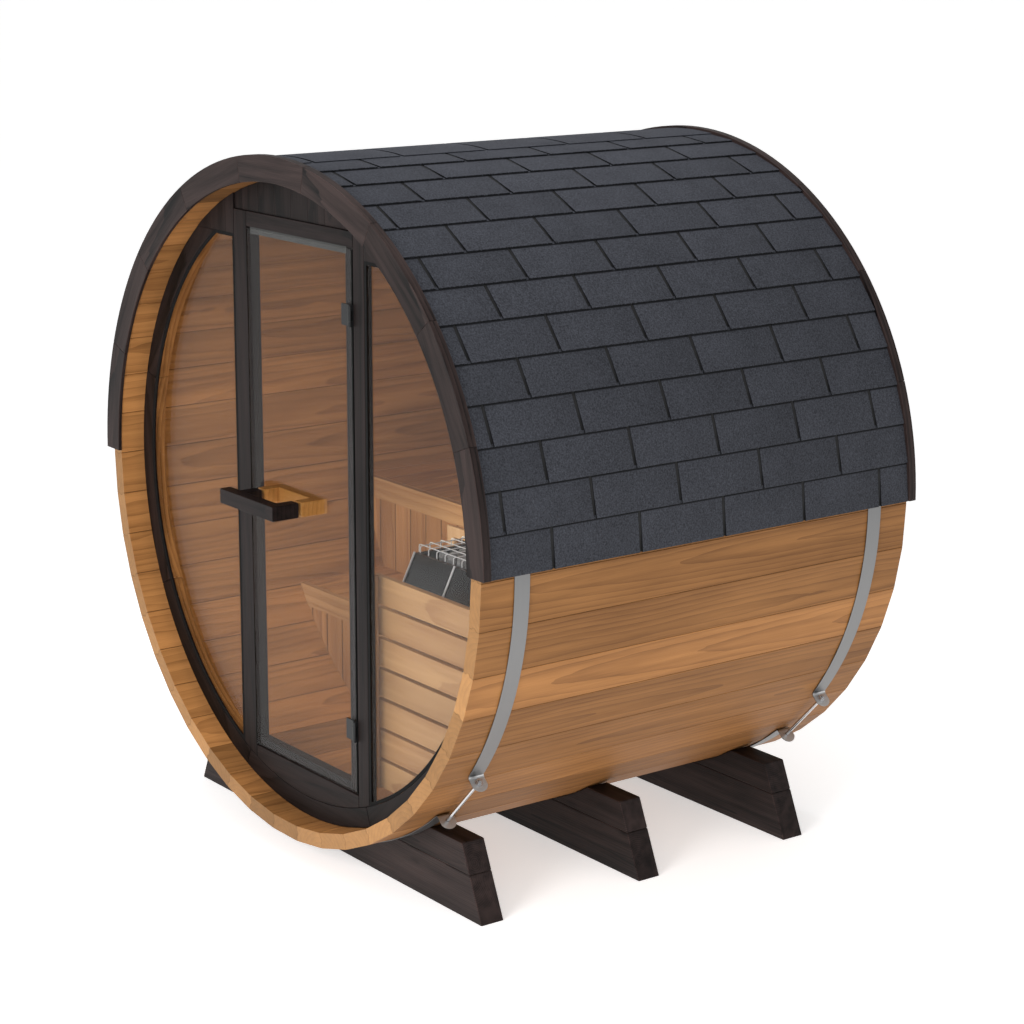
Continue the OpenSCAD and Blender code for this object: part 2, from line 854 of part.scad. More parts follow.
// Handle of one side: grip bar and two arms to the glass, seen from above as a bracket.
module handle(over) {
  d = handle_reach;
  b = handle_bar;
  translate([0, 0, handle_z])
    linear_extrude(height = handle_h)
      difference() {
        polygon([[arm_l - over, -d], [arm_r, -d], [arm_r, 0], [arm_r - b, 0], [arm_r - b, -d + b],
                 [arm_l + b, -d + b], [arm_l + b, 0], [arm_l, 0], [arm_l, -d + b], [arm_l - over, -d + b]]);
      }
}

module door_handle_outside() {
  color(dark_c)
    translate([0, glass_y - 0.05, 0])
      handle(handle_over);
}

module door_handle_inside() {
  color(light_c)
    translate([0, glass_y + glass_t + 0.05, 0])
      mirror([0, 1, 0])
        handle(0);
}

staves_bottom();
staves_lower_right();
staves_right();
staves_upper_right();
staves_top();
staves_upper_left();
staves_left();
staves_lower_left();
roof_right();
roof_left();
roof_ridge();
front_fascia();
rear_fascia();
front_band();
rear_band();
front_tensioners();
rear_tensioners();
front_cradle();
middle_cradle();
rear_cradle();
front_ring();
left_jamb();
right_jamb();
lintel();
sill();
front_top_infill();
left_pane();
right_pane();
rear_wall();
upper_bench_seat();
upper_bench_front();
upper_bench_skirt();
vent_frame();
lower_bench_seat();
lower_bench_front();
lower_bench_skirt();
heater_body();
heater_stones();
heater_rods();
heater_grille();
heater_stand();
fence_slats();
fence_posts();
hinge_brackets();
door_glass();
door_hinge_leaves();
door_handle_outside();
door_handle_inside();
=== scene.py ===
"""Looks of a barrel sauna cabin: wood, shingles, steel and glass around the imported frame.

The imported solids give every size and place. Pieces whose shape is right keep their solids and get a
finish; boards, shingles, edges, gaskets and stones are modelled here and stand for their solids.
All lengths are metres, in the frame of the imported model.
"""

from __future__ import annotations

import itertools
import json
import logging
import math
import random
from dataclasses import dataclass
from enum import Enum
from typing import Callable, Sequence

import bmesh
import bpy
from mathutils import Matrix, Vector

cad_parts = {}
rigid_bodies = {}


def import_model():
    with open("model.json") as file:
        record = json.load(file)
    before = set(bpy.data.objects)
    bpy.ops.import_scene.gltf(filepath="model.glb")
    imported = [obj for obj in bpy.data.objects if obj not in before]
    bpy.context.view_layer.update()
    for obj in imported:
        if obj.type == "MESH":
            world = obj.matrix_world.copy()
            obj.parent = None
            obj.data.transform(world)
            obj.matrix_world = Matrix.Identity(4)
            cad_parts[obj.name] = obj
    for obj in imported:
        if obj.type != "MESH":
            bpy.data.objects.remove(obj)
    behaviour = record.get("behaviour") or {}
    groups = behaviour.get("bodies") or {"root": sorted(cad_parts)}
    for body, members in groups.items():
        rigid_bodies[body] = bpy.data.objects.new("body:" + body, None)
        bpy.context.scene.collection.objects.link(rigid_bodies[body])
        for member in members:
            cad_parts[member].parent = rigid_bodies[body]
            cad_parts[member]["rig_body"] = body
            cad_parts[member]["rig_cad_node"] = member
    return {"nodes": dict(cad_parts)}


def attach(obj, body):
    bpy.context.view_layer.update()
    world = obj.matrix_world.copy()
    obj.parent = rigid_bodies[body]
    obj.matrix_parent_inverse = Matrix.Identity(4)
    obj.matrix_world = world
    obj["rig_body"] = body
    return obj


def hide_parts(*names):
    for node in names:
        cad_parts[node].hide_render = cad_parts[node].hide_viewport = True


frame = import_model()

LOG = logging.getLogger("barrel_sauna")
AXIS_Z = 1.053
STAVES = 46
STAVE_OUT = 0.98
STAVE_MID = 0.9575
STAVE_IN = 0.9375
EDGE_ANGLE = 0.6
COURSES = 13
COURSE_ANGLE = 84.3 / COURSES
ARCH_MID = 0.93
NEXT_END = 31.0  # added to a board's number at the rear, so that it looks different
NEXT_ROW = 17.0  # the same for the next row of boards
NO_LIMIT = 10.0
WHITE = (1.0, 1.0, 1.0)
RGB = tuple[float, float, float]
Point = tuple[float, float, float]
Piece = bpy.types.Object


def paint_rgb(red: int, green: int, blue: int) -> RGB:
    """Turns a screen colour, 0 to 255 a part, into the linear values that a shader takes."""
    parts = [value / 255 for value in (red, green, blue)]
    return tuple(p / 12.92 if p <= 0.04045 else ((p + 0.055) / 1.055) ** 2.4 for p in parts)


def operator(operation: str, swapped: bool = False) -> Callable[..., Wire]:
    """Makes a wire's method that adds one Math node, the other value first if swapped."""

    def method(wire: Wire, *other: Value) -> Wire:
        """Adds the Math node."""
        return wire.graph.math(operation, *((*other, wire) if swapped else (wire, *other)))

    return method


@dataclass(eq=False)
class Wire:
    """An output socket of a material, so that shader maths reads as Python."""

    graph: Graph
    socket: bpy.types.NodeSocket

    __add__ = operator("ADD")
    __radd__ = operator("ADD", swapped=True)
    __sub__ = operator("SUBTRACT")
    __rsub__ = operator("SUBTRACT", swapped=True)
    __mul__ = operator("MULTIPLY")
    __truediv__ = operator("DIVIDE")
    __mod__ = operator("FLOORED_MODULO")
    __gt__ = operator("GREATER_THAN")
    __lt__ = operator("LESS_THAN")
    __abs__ = operator("ABSOLUTE")
    floor = operator("FLOOR")
    root = operator("SQRT")

    def clamped(self) -> Wire:
        """Held between zero and one."""
        return self.graph.math("MINIMUM", self.graph.math("MAXIMUM", self, 0.0), 1.0)


Value = Wire | float


class Graph:
    """A material under construction, with short ways to add its nodes."""

    def __init__(self, name: str) -> None:
        """Starts an empty material of that name."""
        self.material = bpy.data.materials.new(name)
        self.material.use_nodes = True
        self.tree = self.material.node_tree
        self.tree.nodes.clear()

    def node(self, kind: str, settings: dict | None = None, inputs: dict | None = None) -> bpy.types.Node:
        """Adds a node.

        Args:
            kind: The node's type name.
            settings: Properties of the node, set before its sockets.
            inputs: Values or wires, by socket name or index.

        Returns:
            The new node.
        """
        made = self.tree.nodes.new(kind)
        for key, value in (settings or {}).items():
            setattr(made, key, value)
        for key, value in (inputs or {}).items():
            socket = made.inputs[key]
            if isinstance(value, Wire):
                self.tree.links.new(value.socket, socket)
            elif socket.type == "RGBA" and len(value) == 3:
                socket.default_value = (*value, 1.0)
            else:
                socket.default_value = value
        return made

    def wire(self, node: bpy.types.Node, out: int | str = 0) -> Wire:
        """Wraps one output of a node."""
        return Wire(self, node.outputs[out])

    def math(self, operation: str, *values: Value) -> Wire:
        """Adds a Math node on one or two values."""
        return self.wire(self.node("ShaderNodeMath", {"operation": operation}, dict(enumerate(values))))

    def spot(self, output: str = "Object") -> Wire:
        """The shaded point in the object's own coordinates, or what it faces ("Normal")."""
        return self.wire(self.node("ShaderNodeTexCoord"), output)

    def facing(self) -> tuple[Wire, Wire, Wire]:
        """X, Y and Z of the direction that the shaded point faces."""
        return self.parts(self.spot("Normal"))

    def place(self) -> tuple[Wire, Wire, Wire]:
        """X, Y and Z of the shaded point."""
        return self.parts(self.spot())

    def parts(self, whole: Wire, kind: str = "XYZ") -> tuple[Wire, Wire, Wire]:
        """The three parts of a vector or, with kind "Color", of a colour."""
        split = self.node(f"ShaderNodeSeparate{kind}", None, {0: whole})
        return self.wire(split, 0), self.wire(split, 1), self.wire(split, 2)

    def vector(self, x: Value, y: Value, z: Value) -> Wire:
        """Joins three values to a vector."""
        return self.wire(self.node("ShaderNodeCombineXYZ", None, {0: x, 1: y, 2: z}))

    def noise(self, spot: Wire, scale: float, detail: float = 2.0, rough: float = 0.5) -> Wire:
        """Smooth noise around zero at a place."""
        sockets = {"Vector": spot, "Scale": scale, "Detail": detail, "Roughness": rough}
        return self.wire(self.node("ShaderNodeTexNoise", None, sockets)) - 0.5

    def cloud(self, x: Value, y: Value, z: Value, detail: float = 2.0) -> Wire:
        """Smooth noise around zero at three stretched coordinates."""
        return self.noise(self.vector(x, y, z), 1.0, detail)

    def dice(self, number: Wire) -> tuple[Wire, Wire, Wire]:
        """Three random values that belong to a whole number."""
        cast = self.node("ShaderNodeTexWhiteNoise", {"noise_dimensions": "1D"}, {"W": number})
        return self.parts(self.wire(cast, "Color"), "Color")

    def mix(self, share: Value, first: Wire | RGB, second: Wire | RGB) -> Wire:
        """Blend of two colours."""
        sockets = {0: share, 6: first, 7: second}
        return self.wire(self.node("ShaderNodeMix", {"data_type": "RGBA"}, sockets), 2)

    def shade(self, colour: Wire, amount: Value) -> Wire:
        """A colour made lighter or darker by a factor."""
        sockets = {0: colour, "Scale": amount}
        return self.wire(self.node("ShaderNodeVectorMath", {"operation": "SCALE"}, sockets))

    def bump(self, height: Wire, strength: float, depth: float) -> Wire:
        """Surface relief from a height."""
        sockets = {"Strength": strength, "Distance": depth, "Height": height}
        return self.wire(self.node("ShaderNodeBump", None, sockets))

    def surface(self, **sockets: object) -> Graph:
        """Closes the material with a Principled shader, its sockets named with underscores."""
        named = {key.replace("_", " "): value for key, value in sockets.items()}
        shader = self.node("ShaderNodeBsdfPrincipled", None, named)
        self.node("ShaderNodeOutputMaterial", None, {"Surface": self.wire(shader)})
        return self


class Lay(Enum):
    """How boards lie: the axes along, across and through a board, or a run round the barrel."""

    STAVE = "stave"
    ARCH = "arch"
    HOOP = "hoop"
    X_UP = "XZY"
    Y_FLAT = "YXZ"
    Z_UP = "ZXY"


@dataclass(frozen=True)
class Finish:
    """A surface finish that makes its material once."""

    name: str

    def material(self) -> bpy.types.Material:
        """The material of this finish."""
        name = f"{self.name}_look"
        return bpy.data.materials.get(name) or self.paint(Graph(name)).material

    def paint(self, graph: Graph) -> Graph:
        """Fills the material's graph."""
        raise NotImplementedError


@dataclass(frozen=True)
class Wood(Finish):
    """Sawn wood with growth rings through the solid, fibre and a tone of its own for each board."""

    pale: RGB
    deep: RGB
    lay: Lay
    pitch: float = 0.134
    phase: float = 0.0
    rank: float = NO_LIMIT
    seed: float = 0.0
    tone: float = 0.3
    figure: float = 1.0
    rings: float = 70.0
    rough: float = 0.52
    relief: float = 0.25
    gloss: float = 0.35
    arc_from: float = 0.0
    arc_step: float = 45.0
    bare_behind: float = NO_LIMIT
    groove: float = 0.0
    knots: float = 0.0
    wear: float = 0.0

    def paint(self, graph: Graph) -> Graph:
        """Rings, streaks and fibre laid out along the boards."""
        along, across, depth, board, seam = self._boards(graph)
        first, second, third = graph.dice(board + self.seed)
        drift = graph.cloud(along * 0.9, across * 4.5, board * 3.7)
        wobble = graph.cloud(along * 3.2, across * 15.0, depth * 15.0 + board * 5.1, 3.0)
        side = across + (first - 0.5) * (self.pitch * 1.1) + drift * 0.035
        heart = depth + 0.008 + second * 0.06 + along * (third - 0.5) * 0.07 + drift * 0.02
        radius = (side * side + heart * heart).root()
        turn = radius * self.rings + wobble * 0.9
        ring = turn - turn.floor()
        late = ring * ring * ring * ring * 0.6 + ring * 0.3
        cloud = graph.cloud(along * 2.1, across * 10.0, board * 4.3)
        streak = graph.cloud(along * 1.3, across * 42.0, depth * 42.0 + board * 2.3, 3.0)
        fibre = graph.cloud(along * 11.0, across * 430.0, depth * 430.0)
        amount = 0.3 + (late * 0.45 + streak * 0.9 + fibre * 0.4 + cloud * 0.7) * self.figure
        colour = graph.mix(amount.clamped(), self.pale, self.deep)
        if self.lay is Lay.STAVE:
            ends = abs(graph.facing()[1]) > 0.8
            # Painted light and shade: inner faces 30 % lighter up to the axis, darker higher up, down to 32 %
            # darker at the top.
            inner = (depth > STAVE_OUT - STAVE_IN) * (1.0 - ends)
            painted_top_shade = ((graph.place()[2] - AXIS_Z) / 0.9).clamped() * 0.62
            colour = graph.shade(graph.mix(ends * 0.5, colour, END_PALE), 1.0 + inner * (0.3 - painted_top_shade))
        # Faces behind this place in Y take the stave tones instead of this wood's own.
        if self.bare_behind < NO_LIMIT:
            stave_toned = graph.mix(amount.clamped(), *STAVE_TONES)
            colour = graph.mix(graph.place()[1] > self.bare_behind, colour, stave_toned)
        # Lighter bevels on faces turned part way to Y: partly wear, partly painted highlight.
        if self.wear:
            turned = abs(graph.facing()[1])
            colour = graph.shade(colour, 1.0 + (turned > 0.12) * (turned < 0.97) * self.wear)
        if self.knots:
            colour = graph.shade(colour, 1.0 - self._knots(graph, along, across, board) * self.knots)
        tone = (1.0 + (second - 0.5) * self.tone) * (1.0 - seam * 0.5)
        height = fibre * 0.6 + streak * 0.25 - late * 0.3 - seam * 0.5
        return graph.surface(
            Base_Color=graph.shade(colour, tone),
            Roughness=(self.rough + fibre * 0.16 - late * 0.06).clamped(),
            Normal=graph.bump(height, self.relief, 0.0012),
            Specular_IOR_Level=self.gloss,
        )

    def _boards(self, graph: Graph) -> tuple[Wire, Wire, Wire, Wire, Value]:
        """Place within a board.

        Args:
            graph: The material under construction.

        Returns:
            Distance along, across and through the board, the board's number, and how near its joint is.
        """
        x, y, z = graph.place()
        if self.lay is Lay.STAVE:
            return self._stave(graph, x, y, z)
        if self.lay in (Lay.ARCH, Lay.HOOP):
            step = math.radians(self.arc_step)
            up = z - AXIS_Z
            radius = (x * x + up * up).root()
            sides = (up, x) if self.lay is Lay.ARCH else (x, 0.0 - up)
            turn = graph.math("ARCTAN2", *sides) / step - self.arc_from / self.arc_step
            board = turn.floor()
            angle = (turn - board - 0.5) * step
            along = radius * graph.math("SINE", angle)
            across = radius * graph.math("COSINE", angle) - ARCH_MID
            return along, across, y, board + (y > 0.0) * NEXT_END, 0.0
        axes = dict(zip("XYZ", (x, y, z)))
        along, across, depth = (axes[letter] for letter in self.lay.value)
        count = across / self.pitch + self.phase
        board = count.floor()
        inside = (count - board - 0.5) * self.pitch
        row = (depth / self.rank + 0.5).floor()
        seam = 0.0
        if self.groove:
            seam = (1.0 - (self.pitch / 2 - abs(inside)) / self.groove).clamped() * 1.5
        return along, inside, depth - row * self.rank, board + row * NEXT_ROW, seam

    @staticmethod
    def _knots(graph: Graph, along: Wire, across: Wire, board: Wire) -> Wire:
        """Dark spots scattered along the boards."""
        spot = graph.vector(along * 4.2, across * 13.0, board * 2.9)
        cells = graph.node("ShaderNodeTexVoronoi", None, {"Vector": spot, "Scale": 1.0})
        chance = graph.parts(graph.wire(cells, "Color"), "Color")[0]
        return (1.2 - graph.wire(cells, "Distance") / 0.13).clamped() * (chance > 0.55)

    def _stave(self, graph: Graph, x: Wire, y: Wire, z: Wire) -> tuple[Wire, Wire, Wire, Wire, Value]:
        """Place within a stave, with its bead-and-cove joint drawn where the edges meet."""
        step = math.radians(360 / STAVES)
        bead_size, bead_in, arc_half = 0.009, 0.003, 0.0011
        line_half, line_from, mean_radius = 0.001, 0.0085, 0.958
        up = z - AXIS_Z
        radius = (x * x + up * up).root()
        off = radius - STAVE_MID
        turn = graph.math("ARCTAN2", x, 0.0 - up) / step + 0.5
        width = step * mean_radius
        edge = (turn - (turn + 0.5).floor()) * width
        bead = (off * off + (edge + bead_in) * (edge + bead_in)).root()
        past = edge > 0.0
        arc = (1.0 - abs(bead - bead_size) / arc_half).clamped() * past
        line = (1.0 - abs(edge) / line_half).clamped() * (abs(off) > line_from)
        count = turn.floor()
        inside = (turn - count - 0.5) * width
        board = (count - past * (bead < bead_size)) % float(STAVES)
        return y, inside, STAVE_OUT - radius, board, graph.math("MAXIMUM", arc, line)


@dataclass(frozen=True)
class Shingle(Finish):
    """Mineral granules pressed into bitumen, each tab with a tone of its own."""

    dark: RGB
    light: RGB
    painted_shade: float = 0.8

    def paint(self, graph: Graph) -> Graph:
        """Two sizes of granule over a soft cloud of tone, painted shadow under each course and painted shade
        on faces turned along the barrel.
        """
        x, _, z = graph.place()
        spot = graph.spot()
        grit = graph.noise(spot, 210.0, 3.0, 0.7)
        grain = graph.noise(spot, 1100.0, 1.0)
        cloud = graph.noise(spot, 9.0)
        tone = graph.wire(graph.node("ShaderNodeAttribute", {"attribute_name": "tone"}), "Fac")
        amount = 0.5 + grit * 2.2 + grain * 1.2 + cloud * 0.3
        climb = graph.math("ARCTAN2", z - AXIS_Z, abs(x)) / math.radians(COURSE_ANGLE)
        course = climb - EDGE_ANGLE / COURSE_ANGLE + grit * 0.02
        # Painted shadow: a dark band at the head of each course's exposure, just under the next course's
        # lower edge.
        under = ((course - course.floor() - 0.945) / 0.02).clamped() * (climb < COURSES - 0.2)
        # Painted shade: faces turned along the barrel, the tabs' ends in the joints and the caps' ends, are
        # darkened.
        side = abs(graph.facing()[1]) > 0.7
        light = (0.95 + tone * 0.1) * (1.0 - under * self.painted_shade) * (1.0 - side * self.painted_shade)
        return graph.surface(
            Base_Color=graph.shade(graph.mix(amount.clamped(), self.dark, self.light), light),
            Roughness=(0.82 + grit * 0.3).clamped(),
            Normal=graph.bump(grit + grain * 0.6, 0.55, 0.0014),
            Specular_IOR_Level=0.2,
        )


@dataclass(frozen=True)
class Metal(Finish):
    """Steel with fine brushing, or painted steel where it isn't bare; the near-white wire steel is a painted
    highlight.
    """

    tint: RGB
    rough: float
    bare: float = 1.0
    brushed: float = 0.0
    tab_painted_highlight: float = 1.0

    def paint(self, graph: Graph) -> Graph:
        """Long scratches round the barrel, a faint cloud of wear and, where set, a painted highlight on the
        tabs.
        """
        x, y, z = graph.place()
        hair = graph.cloud(x * 9.0, y * 900.0, z * 9.0)
        cloud = graph.noise(graph.spot(), 22.0, 3.0)
        wear = cloud * 0.3 + hair * self.brushed
        dim = tuple(part * 0.72 for part in self.tint)
        colour = graph.mix((0.5 + wear).clamped(), dim, self.tint)
        # Painted highlight: faces turned across the radius, as on the bent tabs, are drawn lighter by this
        # factor.
        if self.tab_painted_highlight > 1.0:
            up = z - AXIS_Z
            face_x, _, face_z = graph.facing()
            turned = abs(face_z * x - face_x * up) / (x * x + up * up).root()
            colour = graph.shade(colour, 1.0 + (turned > 0.5) * (self.tab_painted_highlight - 1.0))
        return graph.surface(
            Base_Color=colour,
            Metallic=self.bare,
            Roughness=(self.rough + cloud * 0.14 + hair * self.brushed * 0.3).clamped(),
            Normal=graph.bump(hair * self.brushed + cloud * 0.2, 0.12, 0.0004),
        )


@dataclass(frozen=True)
class Glass(Finish):
    """Bronze-tinted sheet glass with a faint film on it."""

    tint: RGB
    cover: float
    index: float

    def paint(self, graph: Graph) -> Graph:
        """A thin film that varies a little over the sheet."""
        film = graph.noise(graph.spot(), 3.0)
        shade = tuple(part * 0.8 for part in self.tint)
        return graph.surface(
            Base_Color=graph.mix((0.5 + film).clamped(), shade, self.tint),
            Roughness=(0.02 + film * 0.02).clamped(),
            Alpha=self.cover,
            IOR=self.index,
        )


@dataclass(frozen=True)
class Mineral(Finish):
    """Broken stone, rubber or bitumen: a dull body with speckle and relief."""

    dark: RGB
    light: RGB
    scale: float
    relief: float
    rough: float = 0.85
    gloss: float = 0.5

    def paint(self, graph: Graph) -> Graph:
        """Speckle in two sizes."""
        spot = graph.spot()
        coarse = graph.noise(spot, self.scale, 4.0, 0.6)
        fine = graph.noise(spot, self.scale * 7.0)
        amount = 0.5 + coarse * 1.6 + fine * 0.9
        return graph.surface(
            Base_Color=graph.mix(amount.clamped(), self.dark, self.light),
            Roughness=(self.rough + fine * 0.2).clamped(),
            Normal=graph.bump(coarse + fine * 0.5, self.relief, 0.002),
            Specular_IOR_Level=self.gloss,
        )


STAVE_TONES = (paint_rgb(166, 116, 68), paint_rgb(100, 64, 34))
END_PALE = paint_rgb(160, 123, 81)
BENCH_TONES = (paint_rgb(202, 158, 108), paint_rgb(150, 100, 58))
DARK_TONES = (paint_rgb(54, 43, 41), paint_rgb(9, 7, 7))
WALL_TONES = (paint_rgb(36, 28, 27), paint_rgb(8, 6, 6))
SEAT_TONES = (paint_rgb(226, 168, 106), paint_rgb(146, 97, 56))
SKIRT_TONES = (paint_rgb(206, 152, 98), paint_rgb(134, 88, 52))
GRIP_TONES = (paint_rgb(194, 139, 75), paint_rgb(142, 88, 38))
BOARD = 0.0882


def dark_wood(name: str, tones: tuple[RGB, RGB], lay: Lay, **more: float) -> Wood:
    """A dark stained wood with strong figure and little gloss."""
    return Wood(name, *tones, lay, figure=1.5, gloss=0.14, **more)


STAVE_WOOD = Wood("stave_wood", *STAVE_TONES, Lay.STAVE, figure=0.95, tone=0.62, gloss=0.15)
WALL_WOOD = Wood(
    "wall_wood", *STAVE_TONES, Lay.Z_UP,
    pitch=0.13357, phase=7.0, tone=0.5, figure=0.6, rings=130.0, gloss=0.15,
)
SEAT_WOOD = Wood("seat_wood", *SEAT_TONES, Lay.Y_FLAT, pitch=0.104, phase=4.829, seed=5.0, groove=0.0045)
SKIRT_WOOD = Wood("skirt_wood", *SKIRT_TONES, Lay.Z_UP, pitch=BOARD, phase=5.327, seed=9.0, groove=0.0045)
RAIL_WOOD = Wood("rail_wood", *BENCH_TONES, Lay.X_UP, pitch=0.3, seed=3.0, tone=0.16)
FRAME_WOOD = Wood("frame_wood", paint_rgb(226, 190, 148), BENCH_TONES[0], Lay.Z_UP, pitch=0.3, tone=0.1)
SLAT_WOOD = Wood("slat_wood", *BENCH_TONES, Lay.X_UP, pitch=0.0908, phase=0.01, seed=12.0, tone=0.2)
POST_WOOD = Wood("post_wood", *BENCH_TONES, Lay.Z_UP, pitch=0.2, tone=0.2)
GRIP_WOOD = Wood("grip_wood", *GRIP_TONES, Lay.X_UP, pitch=0.3, tone=0.1)
CRADLE_WOOD = dark_wood(
    "cradle_wood", DARK_TONES, Lay.X_UP, pitch=0.131, rank=0.56, tone=0.35, rings=190.0, wear=0.9, knots=0.7
)
FASCIA_WOOD = dark_wood(
    "fascia_wood", DARK_TONES, Lay.ARCH, arc_from=EDGE_ANGLE, arc_step=19.8667, tone=0.35, wear=0.7, knots=0.7
)
JAMB_WOOD = dark_wood("jamb_wood", WALL_TONES, Lay.Z_UP, pitch=0.34, tone=0.2)
RAIL_DARK = dark_wood("lintel_wood", WALL_TONES, Lay.X_UP, pitch=0.3, tone=0.2, seed=2.0, knots=0.7)
INFILL_WOOD = dark_wood("infill_wood", WALL_TONES, Lay.Z_UP, pitch=BOARD, phase=0.5, tone=0.3)
RING_WOOD = dark_wood(
    "ring_wood", WALL_TONES, Lay.HOOP, arc_from=21.24, arc_step=42.48, tone=0.25, bare_behind=-0.6705
)
GRIP_DARK = dark_wood("grip_dark", WALL_TONES, Lay.X_UP, pitch=0.3, tone=0.1, seed=6.0)
SHINGLE = Shingle("shingle", paint_rgb(28, 29, 33), paint_rgb(69, 71, 78))
DECK = Mineral("roof_deck", (0.004, 0.004, 0.004), (0.012, 0.012, 0.013), 60.0, 0.2)
GASKET = Mineral("gasket_rubber", (0.003, 0.003, 0.003), (0.009, 0.009, 0.009), 90.0, 0.1, 0.7, 0.12)
HEAD_SEAL = Mineral("head_seal", (0.045, 0.046, 0.045), (0.07, 0.071, 0.069), 40.0, 0.1, 0.7, 0.2)
STONE = Mineral("heater_stone", paint_rgb(74, 74, 76), paint_rgb(176, 175, 173), 55.0, 0.5)
BAND_STEEL = Metal("band_steel", (0.27, 0.27, 0.27), 0.42, brushed=0.7, tab_painted_highlight=2.6)
BRIGHT_STEEL = Metal("bright_steel", (0.74, 0.74, 0.75), 0.2, brushed=0.2)
# Painted highlight: near-white and nearly matt, so that the heater's rods and guard wires look as bright as
# glints.
WIRE_STEEL_PAINTED_GLINT = Metal("wire_steel_painted_glint", (0.93, 0.94, 0.95), 0.28, bare=0.1)
HEATER_STEEL = Metal("heater_steel", (0.006, 0.007, 0.008), 0.24, bare=0.0)
HINGE_STEEL = Metal("hinge_steel", (0.02, 0.021, 0.022), 0.38, bare=0.5)
BRONZE_GLASS = Glass("bronze_glass", (0.012, 0.01, 0.008), 0.12, 2.2)

MERGE = 0.00002
NEAR = 1e-4
FLAT = math.radians(0.4)
HARD = math.radians(35.0)


@dataclass
class Editing:
    """Edit mode on one object, picking its faces, edges or points."""

    piece: Piece
    part: str = "FACE"

    def __enter__(self) -> Editing:
        """Opens the object for editing."""
        Workshop.pick(self.piece)
        bpy.ops.object.mode_set(mode="EDIT")
        bpy.ops.mesh.select_mode(type=self.part)
        return self

    def __exit__(self, *_: object) -> None:
        """Goes back to object mode."""
        bpy.ops.object.mode_set(mode="OBJECT")

    def everything(self) -> None:
        """Selects the whole mesh."""
        bpy.ops.mesh.select_all(action="SELECT")

    def where(self, test: Callable[[object], bool]) -> None:
        """Selects the faces, edges or points that pass a test."""
        shape = bmesh.from_edit_mesh(self.piece.data)
        bpy.ops.mesh.select_all(action="DESELECT")
        pool = {"FACE": shape.faces, "EDGE": shape.edges, "VERT": shape.verts}[self.part]
        for element in [element for element in pool if test(element)]:
            element.select_set(True)
        shape.select_flush_mode()
        bmesh.update_edit_mesh(self.piece.data)


